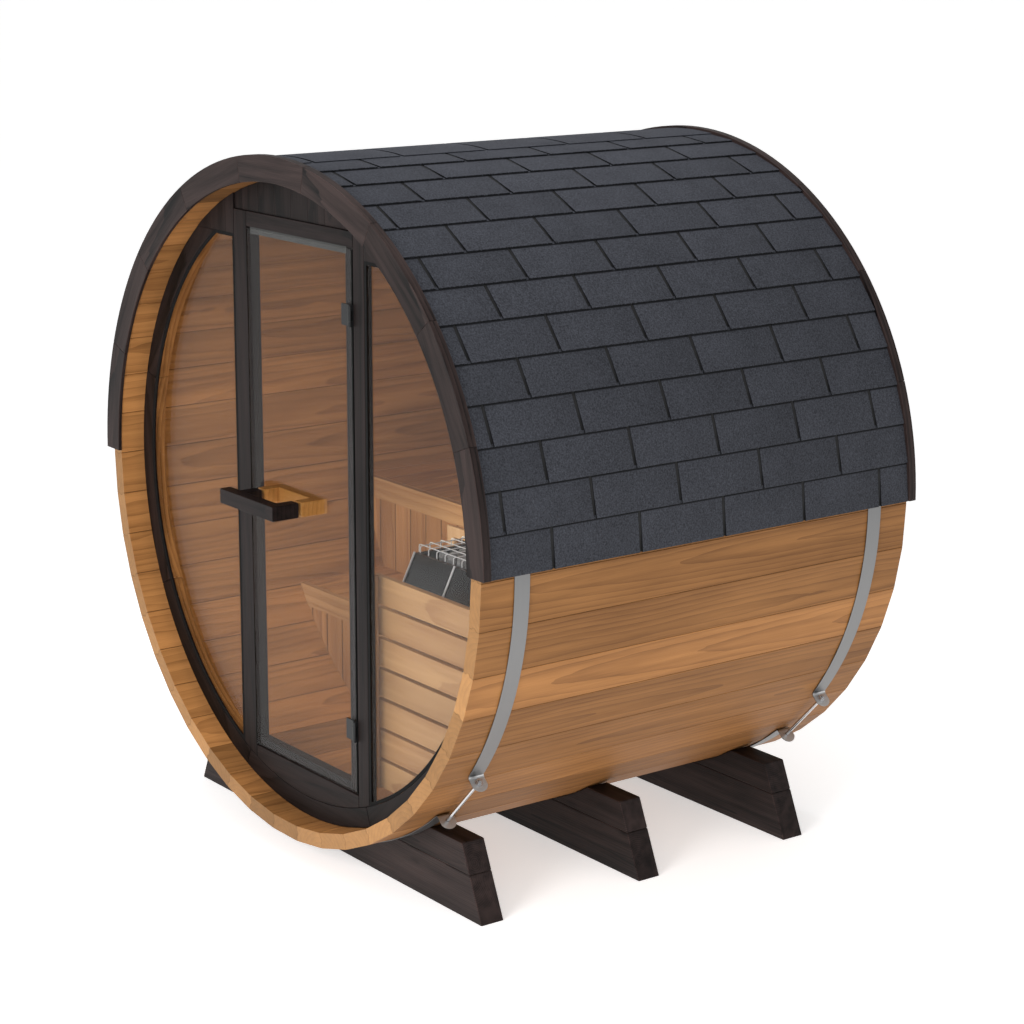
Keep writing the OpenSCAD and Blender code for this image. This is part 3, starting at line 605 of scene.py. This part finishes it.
@dataclass
class Workshop:
    """Modelling moves that the sub-assemblies share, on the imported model's nodes."""

    nodes: dict[str, Piece]
    sliver: float = 0.004

    @staticmethod
    def pick(*pieces: Piece) -> None:
        """Selects these objects alone; the first becomes the active one."""
        bpy.ops.object.select_all(action="DESELECT")
        for piece in pieces:
            piece.select_set(True)
        bpy.context.view_layer.objects.active = pieces[0]

    def box(self, name: str, low: Sequence[float], high: Sequence[float]) -> Piece:
        """Adds a cube between its lowest and highest corner, its place kept in its mesh."""
        middle = [(a + b) / 2 for a, b in zip(low, high)]
        bpy.ops.mesh.primitive_cube_add(size=1.0, location=middle)
        made = bpy.context.active_object
        made.name = name
        made.scale = [b - a for a, b in zip(low, high)]
        return self.settle(made)

    def settle(self, piece: Piece) -> Piece:
        """Moves an object's place, turn and scale into its mesh."""
        self.pick(piece)
        bpy.ops.object.transform_apply(location=True, rotation=True, scale=True)
        return piece

    def twin(self, piece: Piece, name: str) -> Piece:
        """A copy of an object with its own mesh."""
        self.pick(piece)
        bpy.ops.object.duplicate(linked=False)
        made = bpy.context.active_object
        made.name = name
        return made

    def copy_of(self, node: str, name: str) -> Piece:
        """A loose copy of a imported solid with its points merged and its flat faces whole."""
        made = self.twin(self.nodes[node], name)
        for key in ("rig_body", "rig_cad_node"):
            if key in made:
                del made[key]
        made.parent = None
        made.matrix_world = Matrix.Identity(4)
        with Editing(made, "VERT") as mesh:
            mesh.everything()
            bpy.ops.mesh.remove_doubles(threshold=MERGE)
            bpy.ops.mesh.customdata_custom_splitnormals_clear()
            mesh.everything()
            bpy.ops.mesh.dissolve_limited(angle_limit=FLAT)
        return made

    def soften(self, piece: Piece, width: float) -> Piece:
        """Rounds the hard edges to a width and shades the rest smooth."""
        self.pick(piece)
        edge = piece.modifiers.new("edge", "BEVEL")
        edge.width = width
        edge.segments = 2
        edge.limit_method = "ANGLE"
        edge.angle_limit = HARD
        bpy.ops.object.modifier_apply(modifier="edge")
        bpy.ops.object.shade_smooth_by_angle(angle=HARD)
        flat = piece.modifiers.new("flat", "WEIGHTED_NORMAL")
        flat.weight = 100
        flat.keep_sharp = True
        bpy.ops.object.modifier_apply(modifier="flat")
        return piece

    def cut(self, piece: Piece, spot: Sequence[float], away: Sequence[float]) -> None:
        """Cuts off what lies on one side of a plane and closes the cut.

        Args:
            piece: The object to cut.
            spot: A point of the plane.
            away: Direction, square to the plane, of the side that goes.
        """
        with Editing(piece) as mesh:
            mesh.everything()
            bpy.ops.mesh.bisect(
                plane_co=spot, plane_no=away, use_fill=True, clear_outer=True, threshold=1e-6
            )
            bpy.ops.mesh.mark_sharp()

    def boards(self, piece: Piece, seams: Sequence[float], gap: float) -> Piece:
        """Cuts a panel into boards side by side along X.

        Args:
            piece: The panel.
            seams: Places of the joints along X.
            gap: Width of a joint.

        Returns:
            One object with all the boards.
        """
        name = piece.name
        low = min(v.co.x for v in piece.data.vertices)
        high = max(v.co.x for v in piece.data.vertices)
        inside = [s for s in sorted(seams) if low + self.sliver < s < high - self.sliver]
        ends = [low - 1.0, *inside, high + 1.0]
        made = []
        for left, right in zip(ends, ends[1:]):
            board = self.twin(piece, name + "_board")
            self.cut(board, (left + gap / 2, 0, 0), (-1, 0, 0))
            self.cut(board, (right - gap / 2, 0, 0), (1, 0, 0))
            made.append(board)
        bpy.data.objects.remove(piece)
        return self.join(made, name)

    def join(self, pieces: Sequence[Piece], name: str) -> Piece:
        """Joins objects to one of that name."""
        self.pick(*pieces)
        if len(pieces) > 1:
            bpy.ops.object.join()
        made = bpy.context.active_object
        made.name = name
        return made

    def hand_over(
        self, piece: Piece, finish: Finish, slot: str, *stands_for: str, body: str = "cabin"
    ) -> None:
        """Gives a finished piece its material, its body and the solids that it stands for.

        Args:
            piece: The finished object.
            finish: Its finish.
            slot: The record's material slot; not used.
            stands_for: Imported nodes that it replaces.
            body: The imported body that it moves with.
        """
        piece.data.materials.clear()
        piece.data.materials.append(finish.material())
        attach(piece, body)
        if stands_for:
            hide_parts(*stands_for)
        LOG.info("%s: %d faces on %s", piece.name, len(piece.data.polygons), body)

    def dress(self, finish: Finish, *names: str) -> None:
        """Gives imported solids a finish."""
        for name in names:
            for slot in self.nodes[name].material_slots:
                slot.material = finish.material()
            LOG.info("%s: packed solid in %s", name, finish.name)

    def rounded(
        self, node: str, name: str, finish: Finish, slot: str, width: float, body: str = "cabin"
    ) -> None:
        """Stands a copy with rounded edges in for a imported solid."""
        made = self.soften(self.copy_of(node, name), width)
        self.hand_over(made, finish, slot, node, body=body)


@dataclass
class SubAssembly:
    """A part of the scene that is built in the workshop."""

    shop: Workshop

    def build(self) -> None:
        """Makes the pieces."""
        raise NotImplementedError


@dataclass
class Studio(SubAssembly):
    """Camera, floor and light."""

    eye: Point = (6.168, -4.5178, 2.8124)
    right: Point = (0.595976, 0.802996, 0.00315)
    up: Point = (-0.192839, 0.139313, 0.97129)
    back: Point = (0.779504, -0.579473, 0.237876)
    lens: float = 91.315
    sensor: float = 36.0
    far: float = 500.0
    sky: float = 0.55
    floor_side: float = 400.0
    floor_tones: tuple[RGB, RGB] = ((0.9, 0.9, 0.9), (0.92, 0.92, 0.92))
    floor_glow: float = 0.5
    aim: Point = (0.0, 0.0, 1.0)

    def build(self) -> None:
        """Sets the stage."""
        self._camera()
        self._floor()
        self._light()

    def _camera(self) -> None:
        """The photograph's view."""
        data = bpy.data.cameras.new("photo_view")
        data.lens = self.lens
        data.sensor_width = self.sensor
        data.clip_end = self.far
        camera = bpy.data.objects.new("photo_view", data)
        turn = Matrix((self.right, self.up, self.back)).transposed().to_4x4()
        turn.translation = Vector(self.eye)
        camera.matrix_world = turn
        bpy.context.scene.collection.objects.link(camera)
        bpy.context.scene.camera = camera

    def _floor(self) -> None:
        """A wide pale floor."""
        bpy.ops.mesh.primitive_plane_add(size=self.floor_side, location=(0, 0, 0))
        floor = bpy.context.active_object
        floor.name = "studio_floor"
        graph = Graph("studio_floor")
        cloud = graph.noise(graph.spot(), 0.5, 1.0) + 0.5
        graph.surface(
            Base_Color=graph.mix(cloud, *self.floor_tones),
            Roughness=0.9,
            Emission_Color=WHITE,
            Emission_Strength=self.floor_glow,
        )
        floor.data.materials.append(graph.material)

    def _light(self) -> None:
        """Even white surroundings, a large soft key before the front, weak panels and a lamp inside."""
        world = bpy.data.worlds.new("studio")
        world.use_nodes = True
        sky = world.node_tree.nodes["Background"]
        sky.inputs["Color"].default_value = (*WHITE, 1.0)
        sky.inputs["Strength"].default_value = self.sky
        bpy.context.scene.world = world
        bpy.context.scene.view_settings.view_transform = "Standard"
        self._lamp("AREA", "key", (2.6, -7.0, 3.4), 3.0, 360.0)
        self._lamp("AREA", "top", (0.0, 0.0, 3.8), 2.2, 50.0)
        self._lamp("AREA", "fill", (5.4, -4.6, 2.2), 2.0, 70.0)
        self._lamp("POINT", "inside", (-0.05, -0.4, 0.95), 0.22, 9.0, (1.0, 0.92, 0.72))

    def _lamp(
        self, kind: str, name: str, spot: Point, size: float, watts: float, tint: RGB = WHITE
    ) -> None:
        """Hangs one soft light that neither the view nor a reflection shows.

        Args:
            kind: "AREA" for a square panel aimed at the cabin, "POINT" for a ball.
            name: Name of the light.
            spot: Where it hangs.
            size: Side of the panel or radius of the ball.
            watts: Its power.
            tint: Its colour.
        """
        data = bpy.data.lights.new(name, kind)
        setattr(data, "size" if kind == "AREA" else "shadow_soft_size", size)
        data.color = tint
        data.energy = watts
        lamp = bpy.data.objects.new(name, data)
        lamp.location = spot
        lamp.rotation_mode = "QUATERNION"
        lamp.rotation_quaternion = (Vector(self.aim) - Vector(spot)).to_track_quat("-Z", "Y")
        lamp.visible_camera = False
        lamp.visible_glossy = False
        bpy.context.scene.collection.objects.link(lamp)


@dataclass
class StaveBarrel(SubAssembly):
    """The round wall of staves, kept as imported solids."""

    runs: tuple[str, ...] = (
        "bottom", "lower_right", "right", "upper_right", "top", "upper_left", "left", "lower_left",
    )

    def build(self) -> None:
        """Dresses the staves."""
        self.shop.dress(STAVE_WOOD, *(f"staves_{run}" for run in self.runs))


@dataclass
class ShingleRoof(SubAssembly):
    """Shingle tabs in staggered courses on a dark deck, with caps along the ridge."""

    low_radius: float = 1.003
    high_radius: float = 0.998
    half_length: float = 0.7455
    tab_pitch: float = 0.294
    gap: float = 0.0095
    thick: float = 0.0046
    lap: float = 0.008
    joints: tuple[float, float] = (-0.541, -0.693)
    deck: tuple[float, float] = (0.9862, 0.9966)
    cap_half: float = 0.1046
    cap_thick: float = 0.0021
    cap_rise: float = 0.0032
    least: float = 0.02
    head_thick: float = 0.0012
    tab_edge: float = 0.0016
    cap_edge: float = 0.0008
    deck_edge: float = 0.001
    seed: int = 11

    def build(self) -> None:
        """Makes the deck, both slopes and the ridge."""
        self._deck()
        right = self._slope()
        left = self.shop.twin(right, "roof_tabs_left")
        left.rotation_euler = (0.0, 0.0, math.pi)
        self.shop.settle(left)
        self.shop.hand_over(right, SHINGLE, "shingle", "roof_right")
        self.shop.hand_over(left, SHINGLE, "shingle", "roof_left")
        self.shop.hand_over(self._ridge(), SHINGLE, "shingle", "roof_ridge")

    def _deck(self) -> None:
        """Spins the deck's section over the barrel."""
        inner, outer = self.deck
        bpy.ops.mesh.primitive_plane_add(size=1.0, location=((inner + outer) / 2, 0, 0))
        deck = bpy.context.active_object
        deck.name = "roof_deck"
        deck.scale = (outer - inner, 2 * self.half_length, 1.0)
        self.shop.settle(deck)
        sweep = math.radians(180 - 2 * EDGE_ANGLE)
        with Editing(deck) as mesh:
            mesh.everything()
            bpy.ops.mesh.spin(steps=72, angle=sweep, center=(0, 0, 0), axis=(0, 1, 0))
            mesh.everything()
            bpy.ops.mesh.remove_doubles(threshold=1e-5)
            bpy.ops.mesh.normals_make_consistent(inside=False)
        deck.rotation_euler = (0.0, -math.radians(EDGE_ANGLE), 0.0)
        deck.location = (0.0, 0.0, AXIS_Z)
        self.shop.settle(deck)
        self.shop.soften(deck, self.deck_edge)
        self.shop.hand_over(deck, DECK, "shingle")

    def _tab(self) -> Piece:
        """One tab: X out from the roof, Y along the barrel, Z up the slope."""
        rise = 2 * self.low_radius * math.sin(math.radians(COURSE_ANGLE / 2)) + self.lap
        tab = self.shop.box("tab", (-self.thick, 0, 0), (0, self.tab_pitch - self.gap, rise))
        with Editing(tab, "VERT") as mesh:
            mesh.where(lambda v: v.co.x < -self.thick / 2 and v.co.z > rise / 2)
            bpy.ops.transform.translate(value=(self.thick - self.head_thick, 0, 0))
        with Editing(tab, "EDGE") as mesh:
            mesh.where(
                lambda e: all(v.co.x > -NEAR for v in e.verts) and min(v.co.z for v in e.verts) < NEAR
            )
            bpy.ops.mesh.bevel(offset=self.tab_edge, segments=2, affect="EDGES")
        self.shop.pick(tab)
        bpy.ops.object.shade_smooth_by_angle(angle=math.radians(40))
        tab.data.attributes.new("tone", "FLOAT", "POINT")
        return tab

    def _slope(self) -> Piece:
        """Lays the tabs of the right slope and joins them."""
        draw = random.Random(self.seed)
        tab = self._tab()
        laid = []
        for course in range(COURSES):
            low, high = (math.radians(EDGE_ANGLE + (course + step) * COURSE_ANGLE) for step in (0, 1))
            foot = Vector((math.cos(low), 0, math.sin(low))) * self.low_radius
            head = Vector((math.cos(high), 0, math.sin(high))) * self.high_radius
            run = head - foot
            foot.z += AXIS_Z
            laid += self._row(tab, self.joints[course % 2], draw, foot, math.atan2(run.x, run.z))
        bpy.data.objects.remove(tab)
        return self.shop.join(laid, "roof_tabs_right")

    def _ridge(self) -> Piece:
        """Bends one cap over the ridge and lays it in a row."""
        half = self.cap_half
        top = AXIS_Z + self.high_radius + self.cap_rise
        low, high = (-half, 0, top - self.cap_thick), (half, self.tab_pitch - self.gap, top)
        cap = self.shop.box("cap", low, high)
        with Editing(cap, "EDGE") as mesh:
            mesh.where(lambda e: abs(e.verts[0].co.x - e.verts[1].co.x) > half)
            bpy.ops.mesh.subdivide(number_cuts=5)
        columns = sorted({round(v.co.x, 5) for v in cap.data.vertices})
        with Editing(cap, "VERT") as mesh:
            for column in columns:
                mesh.where(lambda v: abs(v.co.x - column) < NEAR)
                bpy.ops.transform.translate(value=(0, 0, -column * column / (2 * self.low_radius)))
        self.shop.soften(cap, self.cap_edge)
        cap.data.attributes.new("tone", "FLOAT", "POINT")
        laid = self._row(cap, self.joints[1], random.Random(self.seed + 1), Vector(), 0.0)
        bpy.data.objects.remove(cap)
        return self.shop.join(laid, "roof_ridge_caps")

    def _row(
        self, model: Piece, joint: float, draw: random.Random, foot: Vector, lean: float
    ) -> list[Piece]:
        """Lays copies of a shingle side by side along the roof and trims them at its ends.

        Args:
            model: The shingle to copy.
            joint: Place of one joint along Y.
            draw: Gives each copy its tone.
            foot: X and Z of the row.
            lean: Turn about Y.

        Returns:
            The copies.
        """
        end = self.half_length
        start = joint - math.ceil((joint + end) / self.tab_pitch) * self.tab_pitch
        laid = []
        while start < end - self.least:
            piece = self.shop.twin(model, "shingle_laid")
            values = [draw.random()] * len(piece.data.vertices)
            piece.data.attributes["tone"].data.foreach_set("value", values)
            piece.rotation_euler = (0.0, lean, 0.0)
            piece.location = (foot.x, start + self.gap / 2, foot.z)
            self.shop.settle(piece)
            if start < -end:
                self.shop.cut(piece, (0, -end, 0), (0, -1, 0))
            if start + self.tab_pitch > end:
                self.shop.cut(piece, (0, end, 0), (0, 1, 0))
            laid.append(piece)
            start += self.tab_pitch
        return laid


@dataclass
class EndFascias(SubAssembly):
    """Arched end boards in segments, front and rear."""

    edge: float = 0.0016

    def build(self) -> None:
        """Rounds the segments' edges."""
        for end in ("front", "rear"):
            self.shop.rounded(f"{end}_fascia", f"{end}_fascia_boards", FASCIA_WOOD, "dark_wood", self.edge)


@dataclass
class SteelBands(SubAssembly):
    """Straps, tension rods, washers and nuts."""

    edge: float = 0.0005

    def build(self) -> None:
        """Smooths the straps and dresses the rods."""
        for end in ("front", "rear"):
            self.shop.rounded(f"{end}_band", f"{end}_band_straps", BAND_STEEL, "band_steel", self.edge)
        self.shop.dress(BRIGHT_STEEL, "front_tensioners", "rear_tensioners")


@dataclass
class Cradles(SubAssembly):
    """The three timber cradles."""

    edge: float = 0.003

    def build(self) -> None:
        """Rounds the timbers' edges."""
        for row in ("front", "middle", "rear"):
            self.shop.rounded(f"{row}_cradle", f"{row}_cradle_timbers", CRADLE_WOOD, "dark_wood", self.edge)


@dataclass
class FrontWall(SubAssembly):
    """Round frame, jambs, lintel, sill, boarded infill and the panes with their gaskets."""

    edge: float = 0.0025
    gasket_width: float = 0.0105
    gasket_depth: float = 0.0034
    gasket_edge: float = 0.0008
    infill_gap: float = 0.0008
    infill_edge: float = 0.0012
    head_edge: float = 0.0004
    lip_edge: float = 0.0015
    jamb_top: float = 1.875
    jamb_round: float = 0.02
    head_low: Point = (-0.2792, -0.6708, 1.8085)
    head_high: Point = (0.2295, -0.6694, 1.8292)
    lip_low: Point = (0.2225, -0.67, 0.258)
    lip_high: Point = (0.23, -0.65, 1.8075)

    def build(self) -> None:
        """Makes the frame, the infill and the gaskets, and dresses the panes."""
        shop = self.shop
        shop.rounded("front_ring", "front_ring_boards", RING_WOOD, "dark_wood", self.edge)
        for side in ("left", "right"):
            self._jamb(side)
        shop.rounded("lintel", "lintel_board", RAIL_DARK, "dark_wood", self.edge)
        shop.rounded("sill", "sill_board", RAIL_DARK, "dark_wood", self.edge)
        self._infill()
        self._stops()
        for side in ("left", "right"):
            self._gasket(side)
        shop.dress(BRONZE_GLASS, "left_pane", "right_pane")

    def _jamb(self, side: str) -> None:
        """Squares one side's jamb at the top, to meet the infill, and rounds its edges."""
        board = self.shop.copy_of(f"{side}_jamb", f"{side}_jamb_board")
        with Editing(board, "VERT") as mesh:
            mesh.where(lambda v: v.co.z > self.jamb_top - self.jamb_round)
            bpy.ops.transform.resize(value=(1, 1, 0), center_override=(0, 0, self.jamb_top))
            mesh.everything()
            bpy.ops.mesh.dissolve_limited(angle_limit=FLAT)
        self.shop.soften(board, self.edge)
        self.shop.hand_over(board, JAMB_WOOD, "dark_wood", f"{side}_jamb")

    def _infill(self) -> None:
        """Cuts the fill over the lintel into upright boards."""
        panel = self.shop.copy_of("front_top_infill", "front_infill_boards")
        seams = [BOARD * (k + 0.5) for k in range(-8, 8)]
        boards = self.shop.soften(self.shop.boards(panel, seams, self.infill_gap), self.infill_edge)
        self.shop.hand_over(boards, INFILL_WOOD, "dark_wood", "front_top_infill")

    def _stops(self) -> None:
        """Fits a seal behind the top of the door and a lip along the hinge-side stop."""
        shop = self.shop
        head = shop.soften(shop.box("door_head_seal", self.head_low, self.head_high), self.head_edge)
        shop.hand_over(head, HEAD_SEAL, "hinge_steel")
        lip = shop.soften(shop.box("door_side_lip", self.lip_low, self.lip_high), self.lip_edge)
        shop.hand_over(lip, JAMB_WOOD, "dark_wood")

    def _gasket(self, side: str) -> None:
        """Draws a black strip round the front of one side's pane."""
        strip = self.shop.copy_of(f"{side}_pane", f"{side}_pane_gasket")
        with Editing(strip) as mesh:
            mesh.where(lambda f: f.normal.y > -0.9)
            bpy.ops.mesh.delete(type="FACE")
            mesh.everything()
            bpy.ops.mesh.inset(thickness=self.gasket_width, use_boundary=True, use_even_offset=True)
            bpy.ops.mesh.delete(type="FACE")
            mesh.everything()
            bpy.ops.mesh.extrude_region_move(TRANSFORM_OT_translate={"value": (0, -self.gasket_depth, 0)})
            mesh.everything()
            bpy.ops.mesh.normals_make_consistent(inside=False)
        self.shop.soften(strip, self.gasket_edge)
        self.shop.hand_over(strip, GASKET, "hinge_steel")


@dataclass
class GlassDoor(SubAssembly):
    """The glass leaf with its hinges and its two wooden grips."""

    grip_edge: float = 0.0032
    shadow_strip_edge: float = 0.0002
    shadow_strip_low: Point = (0.27, -0.683, 0.263)
    shadow_strip_high: Point = (0.2745, -0.675, 1.825)

    def build(self) -> None:
        """Dresses the glass and hinges, rounds the grips and lays a black strip along the hinge edge as
        painted shadow.
        """
        shop = self.shop
        # Painted shadow: a black rubber strip along the hinge edge, where the door's glass casts its edge
        # shadow.
        seal = shop.soften(shop.box("door_edge_shadow_strip", self.shadow_strip_low, self.shadow_strip_high), self.shadow_strip_edge)
        shop.hand_over(seal, GASKET, "hinge_steel", body="door")
        shop.dress(BRONZE_GLASS, "door_glass")
        shop.dress(HINGE_STEEL, "door_hinge_leaves", "hinge_brackets")
        shop.rounded("door_handle_outside", "outer_grip", GRIP_DARK, "dark_wood", self.grip_edge, body="door")
        shop.rounded("door_handle_inside", "inner_grip", GRIP_WOOD, "bench_wood", self.grip_edge, body="door")


@dataclass
class Benches(SubAssembly):
    """Seat, step, their fronts and their boarded skirts."""

    seat_pitch: float = 0.104
    seat_from: float = -0.5022
    skirt_from: float = -0.4698
    joint: float = 0.003
    edge: float = 0.0022
    front_edge: float = 0.003
    rim_edge: float = 0.002

    def build(self) -> None:
        """Cuts the boards and rounds the fronts."""
        shop = self.shop
        for bench in ("upper", "lower"):
            self._boarded(f"{bench}_bench_seat", SEAT_WOOD, self.seat_from, self.seat_pitch)
            self._boarded(f"{bench}_bench_skirt", SKIRT_WOOD, self.skirt_from, BOARD)
            front, board = f"{bench}_bench_front", f"{bench}_front_board"
            shop.rounded(front, board, RAIL_WOOD, "bench_wood", self.front_edge)
        shop.rounded("vent_frame", "vent_frame_rim", FRAME_WOOD, "bench_wood", self.rim_edge)

    def _boarded(self, node: str, finish: Wood, first: float, pitch: float) -> None:
        """Cuts one panel into boards, with joints a pitch apart and one of them at the first place."""
        panel = self.shop.copy_of(node, f"{node}_boards")
        seams = [first + pitch * k for k in range(-24, 30)]
        boards = self.shop.soften(self.shop.boards(panel, seams, self.joint), self.edge)
        self.shop.hand_over(boards, finish, "bench_wood", node)


@dataclass
class Heater(SubAssembly):
    """Casing, stand, bright rods, wire guard and the stones."""

    tray_low: Point = (0.2275, -0.4245, 0.807)
    tray_high: Point = (0.6045, -0.2425, 0.934)
    stone: float = 0.025
    count: tuple[int, int, int] = (7, 4, 3)
    seed: int = 5
    guard_low: Point = (0.2205, -0.4315, 0.9275)
    guard_high: Point = (0.6125, -0.2355, 0.9525)
    guard_rows: tuple[int, int] = (6, 10)
    guard_inset: tuple[float, float] = (0.004, 0.012)
    wire: float = 0.0017
    bend: float = 0.006
    casing_edge: float = 0.0025
    leg_edge: float = 0.0015

    def build(self) -> None:
        """Rounds the casing, dresses the steel and fills the tray."""
        shop = self.shop
        shop.rounded("heater_body", "heater_casing", HEATER_STEEL, "heater_steel", self.casing_edge)
        shop.rounded("heater_stand", "heater_legs", HEATER_STEEL, "heater_steel", self.leg_edge)
        shop.dress(WIRE_STEEL_PAINTED_GLINT, "heater_rods")
        shop.hand_over(self._guard(), WIRE_STEEL_PAINTED_GLINT, "bright_steel", "heater_grille")
        shop.hand_over(self._stones(), STONE, "heater_stone", "heater_stones")

    def _bail(self, length: float, rise: float) -> Piece:
        """Bends one wire of the guard: up from its foot, along X and down again.

        Args:
            length: Distance from foot to foot.
            rise: Height of the level part.

        Returns:
            The wire, its first foot at the origin.
        """
        bpy.ops.mesh.primitive_circle_add(vertices=8, radius=self.wire, fill_type="NGON")
        bail = bpy.context.active_object
        straight = rise - self.bend
        with Editing(bail) as mesh:
            mesh.everything()
            self._stretch(0, straight)
            self._elbow(self.bend, straight)
            self._stretch(length - 2 * self.bend, 0)
            self._elbow(length - self.bend, straight)
            self._stretch(0, -straight)
            mesh.everything()
            bpy.ops.mesh.remove_doubles(threshold=1e-6)
            bpy.ops.mesh.normals_make_consistent(inside=False)
        self.shop.pick(bail)
        bpy.ops.object.shade_smooth_by_angle(angle=math.radians(50))
        return bail

    @staticmethod
    def _stretch(x: float, z: float) -> None:
        """Draws the wire's end straight on."""
        bpy.ops.mesh.extrude_region_move(TRANSFORM_OT_translate={"value": (x, 0, z)})

    @staticmethod
    def _elbow(x: float, z: float) -> None:
        """Bends the wire's end a quarter turn about a place."""
        bpy.ops.mesh.spin(steps=4, angle=math.pi / 2, center=(x, 0, z), axis=(0, -1, 0))

    def _guard(self) -> Piece:
        """Lays long wires over cross wires on the casing's rim and joins them."""
        low = Vector(self.guard_low)
        room = Vector(self.guard_high) - low
        rows, columns = self.guard_rows
        in_y, in_x = self.guard_inset
        long_wire = self._bail(room.x, room.z - self.wire)
        cross_wire = self._bail(room.y, room.z - 3 * self.wire)
        laid = []
        for row in range(rows):
            piece = self.shop.twin(long_wire, "guard_wire")
            piece.location = (low.x, low.y + in_y + (room.y - 2 * in_y) * row / (rows - 1), low.z)
            laid.append(self.shop.settle(piece))
        for column in range(columns):
            piece = self.shop.twin(cross_wire, "guard_wire")
            piece.rotation_euler = (0.0, 0.0, math.pi / 2)
            piece.location = (low.x + in_x + (room.x - 2 * in_x) * column / (columns - 1), low.y, low.z)
            laid.append(self.shop.settle(piece))
        for loose in (long_wire, cross_wire):
            bpy.data.objects.remove(loose)
        return self.shop.join(laid, "heater_guard_wires")

    def _stones(self) -> Piece:
        """Breaks a ball into a stone, fills the tray with turned copies of it and joins them."""
        draw = random.Random(self.seed)
        bpy.ops.mesh.primitive_ico_sphere_add(subdivisions=2, radius=self.stone)
        rough = bpy.context.active_object
        with Editing(rough, "VERT") as mesh:
            mesh.everything()
            bpy.ops.transform.vertex_random(offset=self.stone * 0.22, uniform=0.6, normal=0.4, seed=3)
        self.shop.pick(rough)
        bpy.ops.object.shade_smooth_by_angle(angle=math.radians(28))
        low = Vector(self.tray_low)
        room = Vector(self.tray_high) - low
        margin = self.stone * 1.12
        laid = []
        for k, j, i in itertools.product(*(range(number) for number in reversed(self.count))):
            piece = self.shop.twin(rough, "stone_laid")
            size = 0.78 + 0.3 * draw.random()
            piece.scale = (size * 1.1, size * 0.9, size * (0.7 + 0.2 * draw.random()))
            piece.rotation_euler = [draw.random() * math.tau for _ in range(3)]
            cell = zip((i, j, k), self.count)
            share = [(n + 0.5 + 0.18 * (draw.random() - 0.5)) / number for n, number in cell]
            place = [a + margin + (r - 2 * margin) * s for a, r, s in zip(low, room, share)]
            place[2] = low.z + room.z * share[2]
            piece.location = place
            laid.append(self.shop.settle(piece))
        bpy.data.objects.remove(rough)
        return self.shop.join(laid, "heater_stone_heap")


@dataclass
class HeaterFence(SubAssembly):
    """Level slats before the heater and their posts."""

    edge: float = 0.0028
    post_top: float = 0.85
    right_from: float = 0.5

    def build(self) -> None:
        """Rounds the slats and the posts."""
        self.shop.rounded("fence_slats", "fence_slat_boards", SLAT_WOOD, "bench_wood", self.edge)
        posts = self.shop.copy_of("fence_posts", "fence_post_boards")
        with Editing(posts) as mesh:
            mesh.where(lambda f: f.calc_center_median().x > self.right_from)
            bpy.ops.mesh.bisect(
                plane_co=(0, 0, self.post_top), plane_no=(0, 0, 1), use_fill=True, clear_outer=True
            )
        self.shop.soften(posts, self.edge)
        self.shop.hand_over(posts, POST_WOOD, "bench_wood", "fence_posts")


@dataclass
class RearWall(SubAssembly):
    """The closed rear wall of upright boards."""

    edge: float = 0.003

    def build(self) -> None:
        """Rounds the boards' edges."""
        self.shop.rounded("rear_wall", "rear_wall_boards", WALL_WOOD, "stave_wood", self.edge)


def main() -> None:
    logging.basicConfig(level=logging.INFO, format="%(name)s: %(message)s")
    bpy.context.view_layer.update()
    shop = Workshop(frame["nodes"])
    makers: tuple[type[SubAssembly], ...] = (
        Studio, StaveBarrel, ShingleRoof, EndFascias, SteelBands, Cradles, FrontWall, GlassDoor,
        Benches, Heater, HeaterFence, RearWall,
    )
    for maker in makers:
        maker(shop).build()


if __name__ == "__main__":
    main()
